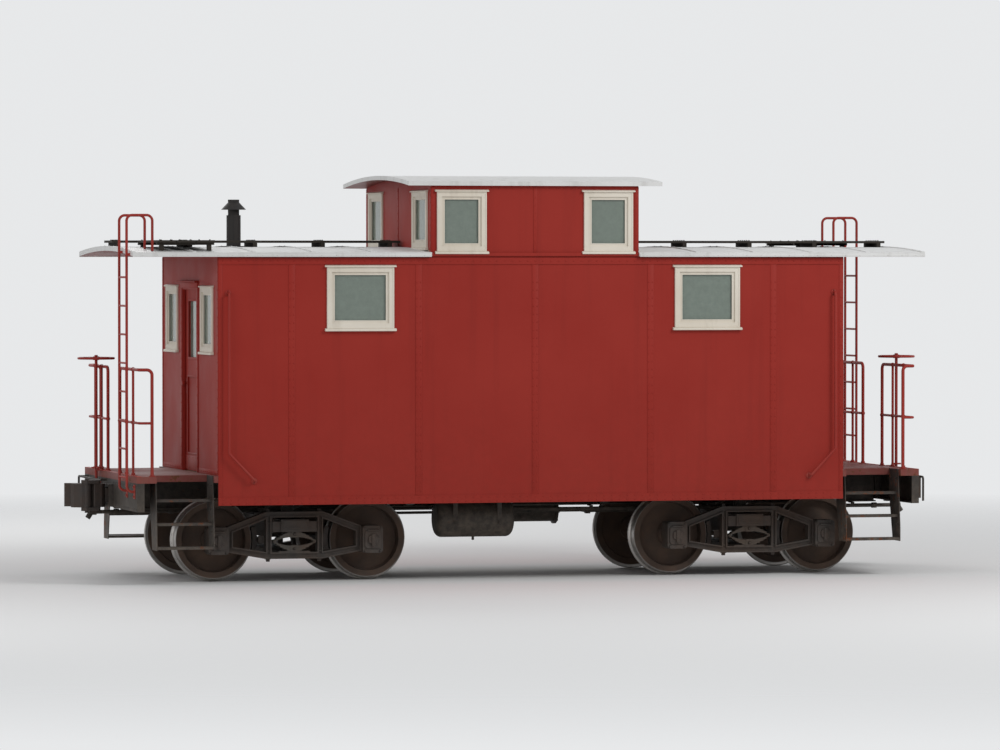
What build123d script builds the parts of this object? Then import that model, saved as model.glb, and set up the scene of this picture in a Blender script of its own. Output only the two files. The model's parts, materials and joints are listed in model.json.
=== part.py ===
from build123d import *
import os
from math import asin, cos, radians, sin, sqrt

os.makedirs("parts", exist_ok=True)

# A steel caboose: one cabin with a cupola in the middle, an open platform at each end,
# and two leaf-sprung trucks. X runs along the car, Y across it and Z up. Z = 0 is the
# lowest point of the wheel flanges, and the origin is below the middle of the car.

# Rails and wheels
flange_height = 27.0
tread_diameter = 838.0
wheel_width = 140.0
wheel_backs = 1360.0
axle_diameter = 150.0
journal_diameter = 130.0
journal_end = 1068.0
truck_wheelbase = 1676.0
truck_centres = 5060.0
rail_z = flange_height
axle_z = rail_z + tread_diameter / 2
wheel_back = wheel_backs / 2
wheel_face = wheel_back + wheel_width

# Cabin
body_length = 6900.0
body_width = 2900.0
wall = 80.0
skirt_thickness = 12.0
side_bottom = rail_z + 810.0
floor_top = rail_z + 1121.0
floor_thickness = 70.0
eave_z = rail_z + 3430.0
roof_side_overhang = 45.0
body_end = body_length / 2
half_width = body_width / 2
inner_y = half_width - wall
inner_x = body_end - wall
floor_bottom = floor_top - floor_thickness

# Platforms
platform_depth = 870.0
roof_end_overhang = 920.0
step_well_start = 40.0
step_well_length = 620.0
step_well_depth = 360.0
platform_end = body_end + platform_depth

# Roofs: half width, height of the lower edge, rise at the crown and thickness
roof_half = half_width + roof_side_overhang
roof_rise = 60.0
roof_thickness = 42.0
seam_height = 9.0
seam_width = 34.0
cupola_length = 2290.0
cupola_eave_z = rail_z + 4180.0
cupola_roof_rise = 75.0
cupola_roof_thickness = 45.0
cupola_roof_overhang = 255.0
cupola_end = cupola_length / 2
cupola_inner_x = cupola_end - wall

# Windows: outer trim sizes, then what their parts measure
side_window = (730.0, 655.0)
cupola_window = (545.0, 640.0)
cupola_end_window = (640.0, 600.0)
end_window = (600.0, 690.0)
side_window_x = 1915.0
cupola_window_x = 810.0
cupola_end_window_y = 990.0
end_window_y = 905.0
side_window_top = rail_z + 3320.0
cupola_window_top = rail_z + 4120.0
cupola_end_window_top = rail_z + 4120.0
end_window_top = rail_z + 3105.0
trim_lap = 35.0
trim_proud = 16.0
sash_width = 42.0
sash_depth = 46.0
glass_thickness = 6.0

# End doors
door_width = 760.0
door_height = 1960.0
door_thickness = 45.0
door_gap = 6.0
door_window = (430.0, 620.0)
door_window_top = 1830.0
hinge_radius = 10.0
hinge_set_back = 15.0
hinge_reach = 9.0
hinge_knuckle = 60.0
hinge_heights = (250.0, 980.0, 1700.0)

# Clearances
pin_gap = 0.4
seat_gap = 0.3

ENDS = (("left", -1), ("right", 1))
SIDES = (("near", -1), ("far", 1))


def arch_z(y, half, edge_z, rise):
    """Height of a roof's arc at a distance y from the middle."""
    radius = (half * half + rise * rise) / (2 * rise)
    return edge_z + rise - radius + sqrt(radius * radius - y * y)


def ceiling(y):
    """Underside of the main roof."""
    return arch_z(y, roof_half, eave_z, roof_rise)


def cupola_ceiling(y):
    """Underside of the cupola's roof."""
    return arch_z(y, roof_half, cupola_eave_z, cupola_roof_rise)


def block(x, y, z, mode=Mode.ADD):
    """Add a box that reaches between two limits on each axis."""
    lows = [min(pair) for pair in (x, y, z)]
    highs = [max(pair) for pair in (x, y, z)]
    middle = [(low + high) / 2 for low, high in zip(lows, highs)]
    with Locations(tuple(middle)):
        Box(*[high - low for low, high in zip(lows, highs)], mode=mode)


def bar(start, end, radius, mode=Mode.ADD):
    """Add a round bar between two points."""
    start, end = Vector(*start), Vector(*end)
    with BuildSketch(Plane(origin=start, z_dir=end - start)) as section:
        Circle(radius)
    extrude(section.sketch, amount=(end - start).length, mode=mode)


def bent_bar(points, radius, bend):
    """Add a round bar along straight runs joined by bends."""
    with BuildLine() as route:
        FilletPolyline(*points, radius=bend)
    path = route.wire()
    with BuildSketch(Plane(origin=path @ 0, z_dir=path % 0)) as section:
        Circle(radius)
    sweep(section.sketch, path=path)


def keep(piece, name):
    """Label a finished piece and write it."""
    piece.part.label = name
    export_step(piece.part, f"parts/{name}.step")


def wall_plane(x, y, z, out):
    """Plane at a point on a wall, facing out, with its second direction up."""
    out = Vector(*out)
    return Plane(origin=(x, y, z), x_dir=Vector(0, 0, 1).cross(out), z_dir=out)


# Places of the windows: x, y, height of the trim's top, outward direction, trim size
SIDE_WINDOWS = [
    (end * side_window_x, side * half_width, side_window_top, (0, side, 0), side_window)
    for _, side in SIDES
    for _, end in ENDS
]
END_WINDOWS = [
    (end * body_end, side * end_window_y, end_window_top, (end, 0, 0), end_window)
    for _, end in ENDS
    for _, side in SIDES
]
CUPOLA_WINDOWS = [
    (end * cupola_window_x, side * half_width, cupola_window_top, (0, side, 0), cupola_window)
    for _, side in SIDES
    for _, end in ENDS
] + [
    (end * cupola_end, side * cupola_end_window_y, cupola_end_window_top, (end, 0, 0), cupola_end_window)
    for _, end in ENDS
    for _, side in SIDES
]


def window_plane(place):
    """Plane at the middle of a window, on the wall's outer face."""
    x, y, top, out, size = place
    return wall_plane(x, y, top - size[1] / 2, out)


def cut_window(place):
    """Cut a window's opening through its wall."""
    width, height = place[4]
    with BuildSketch(window_plane(place)) as opening:
        Rectangle(width - 2 * trim_lap, height - 2 * trim_lap)
    extrude(opening.sketch, amount=-wall, mode=Mode.SUBTRACT)


def add_window_frame(place):
    """Add a window's outside trim and the sash in its opening."""
    width, height = place[4]
    plane = window_plane(place)
    open_width, open_height = width - 2 * trim_lap, height - 2 * trim_lap
    with BuildSketch(plane) as trim:
        Rectangle(width, height)
        Rectangle(open_width - sash_width, open_height - sash_width, mode=Mode.SUBTRACT)
    extrude(trim.sketch, amount=trim_proud)
    with BuildSketch(plane) as sash:
        Rectangle(open_width, open_height)
        Rectangle(open_width - 2 * sash_width, open_height - 2 * sash_width, mode=Mode.SUBTRACT)
    extrude(sash.sketch, amount=-sash_depth)


def add_window_glass(place):
    """Add a window's pane in the middle of its sash."""
    width, height = place[4]
    inset = 2 * trim_lap + 2 * sash_width
    with BuildSketch(window_plane(place).offset(-(sash_depth - glass_thickness) / 2)) as pane:
        Rectangle(width - inset, height - inset)
    extrude(pane.sketch, amount=-glass_thickness)


# Underframe
sill_width = 330.0
sill_web = 14.0
sill_top = floor_bottom
sill_depth = 330.0
sill_bottom = sill_top - sill_depth
sill_flange = 70.0
end_sill_thickness = 80.0
end_sill_depth = 300.0
centre_sill_end = platform_end - end_sill_thickness
half_sill = sill_width / 2
sill_inner = half_sill - sill_web
coupler_z = rail_z + 876.0

with BuildPart() as centre_sill:
    with BuildSketch(Plane.YZ):
        with Locations((0, sill_top - sill_depth / 2)):
            Rectangle(sill_width, sill_depth)
        with Locations((0, sill_top - sill_web)):
            Rectangle(
                2 * sill_inner,
                sill_depth - sill_web,
                align=(Align.CENTER, Align.MAX),
                mode=Mode.SUBTRACT,
            )
        for side in (-1, 1):
            with Locations((side * (half_sill + sill_flange / 2), sill_bottom + sill_web / 2)):
                Rectangle(sill_flange, sill_web)
    extrude(amount=centre_sill_end, both=True)
keep(centre_sill, "centre_sill")

# Body bolsters: a box girder from side sill to side sill over each truck, its bottom
# plate passing under the centre sill and carrying the centre plate
bolster_width = 300.0
bolster_plate = 18.0
bolster_plate_overhang = 20.0
bolster_tip_z = rail_z + 905.0
bolster_reach = half_width - skirt_thickness
truck_top_z = rail_z + 654.0
truck_centre_plate = 18.0
centre_plate_radius = 165.0
side_bearing_y = 640.0
side_bearing_size = 110.0
side_bearing_height = 40.0
side_bearing_gap = 7.0
side_bearing_root = 60.0
truck_bolster_top = truck_top_z - truck_centre_plate
sill_edge = half_sill + sill_flange
bearing_half = side_bearing_size / 2

with BuildPart() as body_bolsters:
    for _, end in ENDS:
        x = end * truck_centres / 2
        for side in (-1, 1):
            with BuildSketch(Plane.YZ.offset(x)):
                with BuildLine():
                    Polyline(
                        (side * half_sill, sill_top),
                        (side * bolster_reach, sill_top),
                        (side * bolster_reach, bolster_tip_z),
                        (side * sill_edge, sill_bottom),
                        (side * sill_edge, sill_bottom + sill_web),
                        (side * half_sill, sill_bottom + sill_web),
                        close=True,
                    )
                make_face()
            extrude(amount=bolster_width / 2, both=True)
            with BuildSketch(Plane.YZ.offset(x)):
                with BuildLine():
                    Polyline(
                        (side * sill_edge, sill_bottom - bolster_plate),
                        (side * sill_edge, sill_bottom),
                        (side * bolster_reach, bolster_tip_z),
                        (side * bolster_reach, bolster_tip_z - bolster_plate),
                        close=True,
                    )
                make_face()
            extrude(amount=bolster_width / 2 + bolster_plate_overhang, both=True)
            y = side * side_bearing_y
            block(
                (x - bearing_half, x + bearing_half),
                (y - bearing_half, y + bearing_half),
                (truck_bolster_top + side_bearing_height + side_bearing_gap, sill_bottom + side_bearing_root),
            )
        block(
            (x - bolster_width / 2, x + bolster_width / 2),
            (-sill_edge, sill_edge),
            (sill_bottom - bolster_plate, sill_bottom),
        )
        bar((x, 0, truck_top_z + seat_gap), (x, 0, sill_bottom - bolster_plate), centre_plate_radius)
keep(body_bolsters, "body_bolsters")

# Cross bearers between the sills
bearer_width = 90.0
bearer_web = 10.0
bearer_flange = 12.0
bearer_tip_depth = 150.0
bearer_spacing = 1100.0
side_sill_depth = 200.0
side_sill_width = 75.0
side_sill_web = 10.0
side_sill_inner = bolster_reach - side_sill_width

with BuildPart() as cross_bearers:
    for place in (-1, 0, 1):
        x = place * bearer_spacing
        for side in (-1, 1):
            with BuildSketch(Plane.YZ.offset(x)):
                with BuildLine():
                    Polyline(
                        (side * half_sill, sill_top),
                        (side * side_sill_inner, sill_top),
                        (side * side_sill_inner, sill_top - bearer_tip_depth),
                        (side * sill_edge, sill_bottom + sill_web),
                        (side * half_sill, sill_bottom + sill_web),
                        close=True,
                    )
                make_face()
            extrude(amount=bearer_web / 2, both=True)
            with BuildSketch(Plane.YZ.offset(x)):
                with BuildLine():
                    Polyline(
                        (side * side_sill_inner, sill_top - bearer_tip_depth),
                        (side * side_sill_inner, sill_top - bearer_tip_depth + bearer_flange),
                        (side * sill_edge, sill_bottom + sill_web + bearer_flange),
                        (side * sill_edge, sill_bottom + sill_web),
                        close=True,
                    )
                make_face()
            extrude(amount=bearer_width / 2, both=True)
            block(
                (x - bearer_width / 2, x + bearer_width / 2),
                (side * half_sill, side * side_sill_inner),
                (sill_top - bearer_flange, sill_top),
            )
keep(cross_bearers, "cross_bearers")

# Side sills: channels behind the side sheets, broken at the body bolsters
side_sill_z = sill_top - side_sill_depth / 2

with BuildPart() as side_sills:
    for side in (-1, 1):
        with BuildSketch(Plane.YZ):
            with Locations((side * (bolster_reach - side_sill_width / 2), side_sill_z)):
                Rectangle(side_sill_width, side_sill_depth)
            with Locations((side * (side_sill_inner + (side_sill_width - side_sill_web) / 2), side_sill_z)):
                Rectangle(
                    side_sill_width - side_sill_web,
                    side_sill_depth - 2 * side_sill_web,
                    mode=Mode.SUBTRACT,
                )
        extrude(amount=body_end, both=True)
        for _, end in ENDS:
            x = end * truck_centres / 2
            gap = bolster_width / 2 + bolster_plate_overhang
            block(
                (x - gap, x + gap),
                (side * side_sill_inner, side * bolster_reach),
                (side_bottom, sill_top),
                mode=Mode.SUBTRACT,
            )
keep(side_sills, "side_sills")

# Floor and platform decks
with BuildPart() as floor:
    block((-body_end, body_end), (-bolster_reach, bolster_reach), (floor_bottom, floor_top))
keep(floor, "floor")

well_inner = body_end + step_well_start
well_outer = well_inner + step_well_length
well_y = half_width - step_well_depth

with BuildPart() as platforms:
    for _, end in ENDS:
        block((end * body_end, end * platform_end), (-half_width, half_width), (floor_bottom, floor_top))
        for side in (-1, 1):
            block(
                (end * well_inner, end * well_outer),
                (side * well_y, side * half_width),
                (floor_bottom, floor_top),
                mode=Mode.SUBTRACT,
            )
keep(platforms, "platforms")

# End sills, with the striker round the coupler's shank
shank_width = 130.0
shank_height = 150.0
striker_depth = 50.0
striker_wall = 45.0
shank_top_clear = 12.0
end_sill_pocket = 40.0
striker_face = platform_end + striker_depth
shank_low = coupler_z - shank_height / 2
shank_high = coupler_z + shank_height / 2

with BuildPart() as end_sills:
    for _, end in ENDS:
        block(
            (end * centre_sill_end, end * platform_end),
            (-half_width, half_width),
            (sill_top - end_sill_depth, sill_top),
        )
        for side in (-1, 1):
            block(
                (end * centre_sill_end, end * (platform_end - sill_web)),
                (side * (half_sill + end_sill_pocket), side * (half_width - sill_web)),
                (sill_top - end_sill_depth + sill_web, sill_top - sill_web),
                mode=Mode.SUBTRACT,
            )
        block(
            (end * centre_sill_end, end * striker_face),
            (-half_sill, half_sill),
            (shank_low - striker_wall, shank_high + striker_wall),
        )
        block(
            (end * centre_sill_end, end * striker_face),
            (-sill_inner, sill_inner),
            (shank_low - seat_gap, shank_high + shank_top_clear),
            mode=Mode.SUBTRACT,
        )
keep(end_sills, "end_sills")

# Draft yokes inside the centre sill, with the pin that the coupler swings on
coupler_pivot = platform_end - 560.0
pivot_radius = 38.0
shank_eye = 72.0
yoke_arm = 28.0
yoke_arm_length = 75.0
yoke_arm_half = 90.0
yoke_block = 260.0
yoke_clear = 30.0

with BuildPart() as draft_yokes:
    for _, end in ENDS:
        z_low = shank_low - seat_gap - yoke_arm
        z_high = shank_high + seat_gap + yoke_arm
        back = coupler_pivot - shank_eye - yoke_clear
        block((end * (back - yoke_block), end * back), (-sill_inner, sill_inner), (z_low, z_high))
        for low in (z_low, z_high - yoke_arm):
            block(
                (end * back, end * (coupler_pivot + yoke_arm_length)),
                (-yoke_arm_half, yoke_arm_half),
                (low, low + yoke_arm),
            )
        bar((end * coupler_pivot, 0, z_low), (end * coupler_pivot, 0, z_high), pivot_radius)
keep(draft_yokes, "draft_yokes")

# Cabin walls
belt_height = 85.0
belt_proud = 8.0
belt_below_eave = 15.0

for name, side in SIDES:
    with BuildPart() as side_wall:
        with BuildSketch(Plane.YZ):
            with BuildLine():
                Polyline(
                    (side * inner_y, floor_top),
                    (side * inner_y, ceiling(inner_y)),
                    (side * half_width, ceiling(half_width)),
                    (side * half_width, side_bottom),
                    (side * bolster_reach, side_bottom),
                    (side * bolster_reach, floor_top),
                    close=True,
                )
            make_face()
        extrude(amount=body_end, both=True)
        for low, high in (
            (side_bottom, side_bottom + belt_height),
            (eave_z - belt_height, eave_z - belt_below_eave),
        ):
            block((-body_end, body_end), (side * half_width, side * (half_width + belt_proud)), (low, high))
        for place in SIDE_WINDOWS:
            if place[1] * side > 0:
                cut_window(place)
    keep(side_wall, f"side_wall_{name}")

# End walls, each with a doorway, the door's stop and half of its hinges
door_bottom = floor_top + door_gap
door_top = door_bottom + door_height
doorway_half = door_width / 2 + door_gap
doorway_top = door_top + door_gap
hinge_x = inner_x - hinge_set_back
hinge_y = door_width / 2 + hinge_reach
hinge_leaf = 34.0
stop_lap = 14.0
stop_x = inner_x + door_thickness + door_gap

for name, end in ENDS:
    with BuildPart() as end_wall:
        with BuildSketch(Plane.YZ.offset(end * inner_x)):
            with BuildLine():
                Polyline(
                    (-inner_y, ceiling(inner_y)),
                    (-inner_y, floor_top),
                    (inner_y, floor_top),
                    (inner_y, ceiling(inner_y)),
                )
                ThreePointArc((inner_y, ceiling(inner_y)), (0, ceiling(0)), (-inner_y, ceiling(inner_y)))
            make_face()
            with Locations((0, floor_top)):
                Rectangle(
                    2 * doorway_half,
                    doorway_top - floor_top,
                    align=(Align.CENTER, Align.MIN),
                    mode=Mode.SUBTRACT,
                )
        extrude(amount=end * wall)
        for place in END_WINDOWS:
            if place[0] * end > 0:
                cut_window(place)
        for side in (-1, 1):
            block(
                (end * stop_x, end * body_end),
                (side * (door_width / 2 - stop_lap), side * doorway_half),
                (floor_top, doorway_top),
            )
        block(
            (end * stop_x, end * body_end),
            (-doorway_half, doorway_half),
            (door_top - stop_lap, doorway_top),
        )
        # Hinge knuckles above and below each of the door's own, on the same side as the end
        pin = (end * hinge_x, end * hinge_y)
        for height in hinge_heights:
            middle = floor_top + height
            for low, high in (
                (middle - hinge_knuckle, middle - pin_gap),
                (middle + hinge_knuckle + pin_gap, middle + 2 * hinge_knuckle),
            ):
                bar((*pin, low), (*pin, high), hinge_radius)
                block(
                    (end * hinge_x, end * inner_x),
                    (end * hinge_y, end * (hinge_y + hinge_leaf)),
                    (low, high),
                )
    keep(end_wall, f"end_wall_{name}")

# End doors, hung on the inside face and opening into the cabin, with a recessed panel
# below the window and a knob on each face
door_glass_z = door_bottom + door_window_top - door_window[1] / 2
panel_width = 520.0
panel_low = door_bottom + 190.0
panel_high = door_bottom + 1010.0
panel_recess = 10.0
knob_inset = 70.0
knob_z = floor_top + 940.0
# How far out each turned length of the knob starts and stops, and its radius
KNOB = ((0.0, 6.0, 30.0), (6.0, 32.0, 9.0), (32.0, 58.0, 25.0))

for name, end in ENDS:
    with BuildPart() as door:
        block(
            (end * inner_x, end * (inner_x + door_thickness)),
            (-door_width / 2, door_width / 2),
            (door_bottom, door_top),
        )
        block(
            (end * inner_x, end * (inner_x + door_thickness)),
            (-door_window[0] / 2, door_window[0] / 2),
            (door_glass_z - door_window[1] / 2, door_glass_z + door_window[1] / 2),
            mode=Mode.SUBTRACT,
        )
        for face, inward in ((inner_x, 1), (inner_x + door_thickness, -1)):
            block(
                (end * face, end * (face + inward * panel_recess)),
                (-panel_width / 2, panel_width / 2),
                (panel_low, panel_high),
                mode=Mode.SUBTRACT,
            )
        pin = (end * hinge_x, end * hinge_y)
        for height in hinge_heights:
            low = floor_top + height
            bar((*pin, low), (*pin, low + hinge_knuckle), hinge_radius)
            block(
                (end * hinge_x, end * inner_x),
                (end * (hinge_y - hinge_leaf), end * hinge_y),
                (low, low + hinge_knuckle),
            )
        knob_y = -end * (door_width / 2 - knob_inset)
        for face, out in ((inner_x, -1), (inner_x + door_thickness, 1)):
            for near, far, radius in KNOB:
                start = (end * (face + out * near), knob_y, knob_z)
                bar(start, (end * (face + out * far), knob_y, knob_z), radius)
    keep(door, f"door_{name}")
    with BuildPart() as door_glass:
        middle = inner_x + door_thickness / 2
        block(
            (end * (middle - glass_thickness / 2), end * (middle + glass_thickness / 2)),
            (-door_window[0] / 2, door_window[0] / 2),
            (door_glass_z - door_window[1] / 2, door_glass_z + door_window[1] / 2),
        )
    keep(door_glass, f"door_glass_{name}")

# Main roof, in two lengths that meet the cupola's ends
roof_end = body_end + roof_end_overhang
seam_spacing = 640.0


def arch_band(half, edge_z, rise, thickness):
    """Add a roof's section: an arc above, the same arc below and upright edges."""
    with BuildLine() as outline:
        ThreePointArc((-half, edge_z), (0, edge_z + rise), (half, edge_z))
        Line((half, edge_z), (half, edge_z + thickness))
        ThreePointArc((half, edge_z + thickness), (0, edge_z + rise + thickness), (-half, edge_z + thickness))
        Line((-half, edge_z + thickness), (-half, edge_z))
    make_face(outline.edges())


stove_from_end = 617.0
stove_x = stove_from_end - inner_x
stove_y = 985.0
pipe_radius = 62.0
roof_hole_radius = pipe_radius + 18.0
roof_crown = eave_z + roof_rise + roof_thickness

for name, end in ENDS:
    with BuildPart() as roof:
        with BuildSketch(Plane.YZ.offset(end * cupola_end)):
            arch_band(roof_half, eave_z, roof_rise, roof_thickness)
        extrude(amount=end * (roof_end - cupola_end))
        seams = int((roof_end - cupola_end) / seam_spacing)
        for index in range(seams):
            with BuildSketch(Plane.YZ.offset(end * (roof_end - seam_width - index * seam_spacing))):
                arch_band(roof_half, eave_z + seam_height, roof_rise, roof_thickness)
            extrude(amount=end * seam_width)
        if end * stove_x > 0:
            top = roof_crown + seam_height
            bar((stove_x, stove_y, eave_z), (stove_x, stove_y, top), roof_hole_radius, mode=Mode.SUBTRACT)
    keep(roof, f"roof_{name}")

# Cupola
drip_height = 34.0
drip_proud = 22.0

with BuildPart() as cupola_sides:
    for _, side in SIDES:
        with BuildSketch(Plane.YZ):
            with BuildLine():
                Polyline(
                    (side * inner_y, ceiling(inner_y)),
                    (side * inner_y, cupola_ceiling(inner_y)),
                    (side * half_width, cupola_ceiling(half_width)),
                    (side * half_width, ceiling(half_width)),
                    close=True,
                )
            make_face()
        extrude(amount=cupola_end, both=True)
        block(
            (-cupola_end, cupola_end),
            (side * half_width, side * (half_width + drip_proud)),
            (ceiling(half_width), ceiling(half_width) + drip_height),
        )
    for place in CUPOLA_WINDOWS:
        if place[3][1] != 0:
            cut_window(place)
keep(cupola_sides, "cupola_sides")

header_z = eave_z - 110.0

with BuildPart() as cupola_ends:
    for _, end in ENDS:
        with BuildSketch(Plane.YZ.offset(end * cupola_inner_x)):
            with BuildLine():
                Polyline(
                    (-inner_y, cupola_ceiling(inner_y)),
                    (-inner_y, header_z),
                    (inner_y, header_z),
                    (inner_y, cupola_ceiling(inner_y)),
                )
                ThreePointArc(
                    (inner_y, cupola_ceiling(inner_y)),
                    (0, cupola_ceiling(0)),
                    (-inner_y, cupola_ceiling(inner_y)),
                )
            make_face()
        extrude(amount=end * wall)
    for place in CUPOLA_WINDOWS:
        if place[3][0] != 0:
            cut_window(place)
keep(cupola_ends, "cupola_ends")

with BuildPart() as cupola_roof:
    with BuildSketch(Plane.YZ):
        arch_band(roof_half, cupola_eave_z, cupola_roof_rise, cupola_roof_thickness)
    extrude(amount=cupola_end + cupola_roof_overhang, both=True)
keep(cupola_roof, "cupola_roof")

# Window frames and panes
for name, places in (("cabin", SIDE_WINDOWS + END_WINDOWS), ("cupola", CUPOLA_WINDOWS)):
    with BuildPart() as frames:
        for place in places:
            add_window_frame(place)
    keep(frames, f"{name}_window_frames")
    with BuildPart() as panes:
        for place in places:
            add_window_glass(place)
    keep(panes, f"{name}_window_glass")

# Steps at the four corners
tread_rise = 248.0
tread_depth = 230.0
tread_thickness = 24.0
stringer = 8.0
stringer_top_inset = 70.0
stringer_foot_height = 150.0
stringer_margin = 10.0
stringer_back_drop = 60.0
# Height below the deck in rises, and outer edge's distance in from the car's side
TREADS = ((1, 100.0), (2, 60.0), (3, 0.0))
step_foot = floor_top - len(TREADS) * tread_rise - tread_thickness - stringer_margin

with BuildPart() as steps:
    for _, end in ENDS:
        for _, side in SIDES:
            for x in (well_inner, well_outer - stringer):
                with BuildSketch(Plane.YZ.offset(end * x)):
                    with BuildLine():
                        Polyline(
                            (side * well_y, floor_top),
                            (side * (half_width - stringer_top_inset), floor_top),
                            (side * half_width, step_foot + stringer_foot_height),
                            (side * half_width, step_foot),
                            (side * (half_width - tread_depth - stringer_margin), step_foot),
                            (side * (well_y + stringer_margin), floor_bottom - tread_rise),
                            (side * well_y, floor_bottom - stringer_back_drop),
                            close=True,
                        )
                    make_face()
                extrude(amount=end * stringer)
            for rises, inset in TREADS:
                top = floor_top - rises * tread_rise
                outer = half_width - inset
                block(
                    (end * (well_inner + stringer), end * (well_outer - stringer)),
                    (side * (outer - tread_depth), side * outer),
                    (top - tread_thickness, top),
                )
keep(steps, "steps")

# End railings: posts and rails of round bar, open in the middle
rail_radius = 17.0
thin_rail_radius = 13.5
railing_bend = 55.0
railing_inset = 40.0
railing_x = platform_end - railing_inset
railing_return_x = well_outer + railing_inset
railing_top = rail_z + 2240.0
railing_middle = floor_top + 560.0
gate_half = 330.0
railing_corner = half_width - 45.0
railing_bay = (railing_corner - gate_half) / 3

for name, end in ENDS:
    with BuildPart() as railing:
        for side in (-1, 1):
            bent_bar(
                [
                    (end * railing_x, side * gate_half, floor_top),
                    (end * railing_x, side * gate_half, railing_top),
                    (end * railing_x, side * railing_corner, railing_top),
                    (end * railing_return_x, side * railing_corner, railing_top),
                    (end * railing_return_x, side * railing_corner, floor_top),
                ],
                rail_radius,
                railing_bend,
            )
            bent_bar(
                [
                    (end * railing_x, side * gate_half, railing_middle),
                    (end * railing_x, side * railing_corner, railing_middle),
                    (end * railing_return_x, side * railing_corner, railing_middle),
                ],
                thin_rail_radius,
                railing_bend,
            )
            for bay in (1, 2):
                y = side * (gate_half + bay * railing_bay)
                bar((end * railing_x, y, floor_top), (end * railing_x, y, railing_top), thin_rail_radius)
    keep(railing, f"end_railing_{name}")

# Ladders from the end sill over the end of the roof
ladder_radius = 14.0
rung_radius = 11.0
ladder_bend = 60.0
ladder_width = 400.0
ladder_y = 1130.0
ladder_x = roof_end + 34.0
ladder_foot = sill_top - 90.0
ladder_top = roof_crown + 330.0
ladder_landing = roof_end - 240.0
rung_spacing = 300.0
first_rung = 150.0

with BuildPart() as end_ladders:
    for _, end in ENDS:
        middle = end * ladder_y
        for y in (middle - ladder_width / 2, middle + ladder_width / 2):
            landing_z = arch_z(abs(y) - ladder_radius, roof_half, eave_z + roof_thickness, roof_rise)
            bent_bar(
                [
                    (end * platform_end, y, ladder_foot),
                    (end * ladder_x, y, ladder_foot),
                    (end * ladder_x, y, ladder_top),
                    (end * ladder_landing, y, ladder_top),
                    (end * ladder_landing, y, landing_z),
                ],
                ladder_radius,
                ladder_bend,
            )
        rungs = int((eave_z - ladder_foot) / rung_spacing)
        for index in range(rungs):
            z = ladder_foot + first_rung + index * rung_spacing
            bar(
                (end * ladder_x, middle - ladder_width / 2, z),
                (end * ladder_x, middle + ladder_width / 2, z),
                rung_radius,
            )
keep(end_ladders, "end_ladders")

# Curved handholds at the cabin's corners
handhold_radius = 13.0
handhold_bend = 34.0
handhold_stand_off = 62.0
handhold_x = body_end - 105.0
handhold_top = rail_z + 3044.0
handhold_turn = rail_z + 1356.0
handhold_foot = rail_z + 1065.0
handhold_sweep = 280.0

with BuildPart() as handholds:
    for _, end in ENDS:
        for _, side in SIDES:
            face = side * half_width
            out = side * (half_width + handhold_stand_off)
            bent_bar(
                [
                    (end * handhold_x, face, handhold_top),
                    (end * handhold_x, out, handhold_top),
                    (end * handhold_x, out, handhold_turn),
                    (end * (handhold_x - handhold_sweep), out, handhold_foot),
                    (end * (handhold_x - handhold_sweep), face, handhold_foot),
                ],
                handhold_radius,
                handhold_bend,
            )
keep(handholds, "handholds")

# Running boards on the roof, with a landing beside each ladder
board_width = 140.0
board_gap = 15.0
board_thickness = 25.0
board_margin = 30.0
saddle_height = 34.0
saddle_width = 45.0
saddle_margin = 120.0
saddle_count = 5
landing_boards = 3
landing_board = 195.0
landing_start = body_end + 10.0
landing_length = landing_boards * (landing_board + board_gap) - board_gap
landing_end = landing_start + landing_length
landing_reach = 1345.0
landing_foot = 45.0
landing_foot_margin = 40.0
board_z = roof_crown + seam_height + saddle_height
walk_half = 1.5 * board_width + board_gap
landing_inner = walk_half + board_gap

with BuildPart() as running_boards:
    for _, end in ENDS:
        for row in (-1, 0, 1):
            y = row * (board_width + board_gap)
            block(
                (end * (cupola_end + board_margin), end * (roof_end - board_margin)),
                (y - board_width / 2, y + board_width / 2),
                (board_z, board_z + board_thickness),
            )
        for row in range(landing_boards):
            x = landing_start + row * (landing_board + board_gap)
            block(
                (end * x, end * (x + landing_board)),
                (end * landing_inner, end * landing_reach),
                (board_z, board_z + board_thickness),
            )
        # Battens under the landing and the feet that they stand on
        for y in (landing_inner + landing_foot_margin, landing_reach - landing_foot_margin - landing_foot):
            under = arch_z(y, roof_half, eave_z + roof_thickness, roof_rise)
            block(
                (end * landing_start, end * landing_end),
                (end * y, end * (y + landing_foot)),
                (board_z - board_thickness, board_z),
            )
            for x in (landing_start + board_margin, landing_end - board_margin - landing_foot):
                block(
                    (end * x, end * (x + landing_foot)),
                    (end * y, end * (y + landing_foot)),
                    (under, board_z),
                )
        saddle_step = (roof_end - cupola_end - 2 * saddle_margin) / (saddle_count - 1)
        for index in range(saddle_count):
            x = cupola_end + saddle_margin + index * saddle_step
            under = arch_z(walk_half, roof_half, eave_z + roof_thickness, roof_rise)
            with BuildSketch(Plane.YZ.offset(end * x)):
                with BuildLine():
                    Polyline(
                        (walk_half, under),
                        (walk_half, board_z),
                        (-walk_half, board_z),
                        (-walk_half, under),
                    )
                    ThreePointArc((-walk_half, under), (0, roof_crown), (walk_half, under))
                make_face()
            extrude(amount=end * saddle_width)
keep(running_boards, "running_boards")

# Hand brakes: an upright staff and wheel at each end
brake_y = 560.0
brake_stand_off = 45.0
brake_x = platform_end + brake_stand_off
brake_wheel_radius = 190.0
brake_rim_radius = 13.0
brake_hub_radius = 34.0
brake_hub_height = 40.0
brake_wheel_z = railing_top + 90.0
staff_radius = 16.0
staff_end = 20.0
spokes = 5
spoke_radius = 9.0
staff_bracket = (35.0, 12.0)
staff_bracket_lap = 30.0
staff_clip = 14.0

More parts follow.
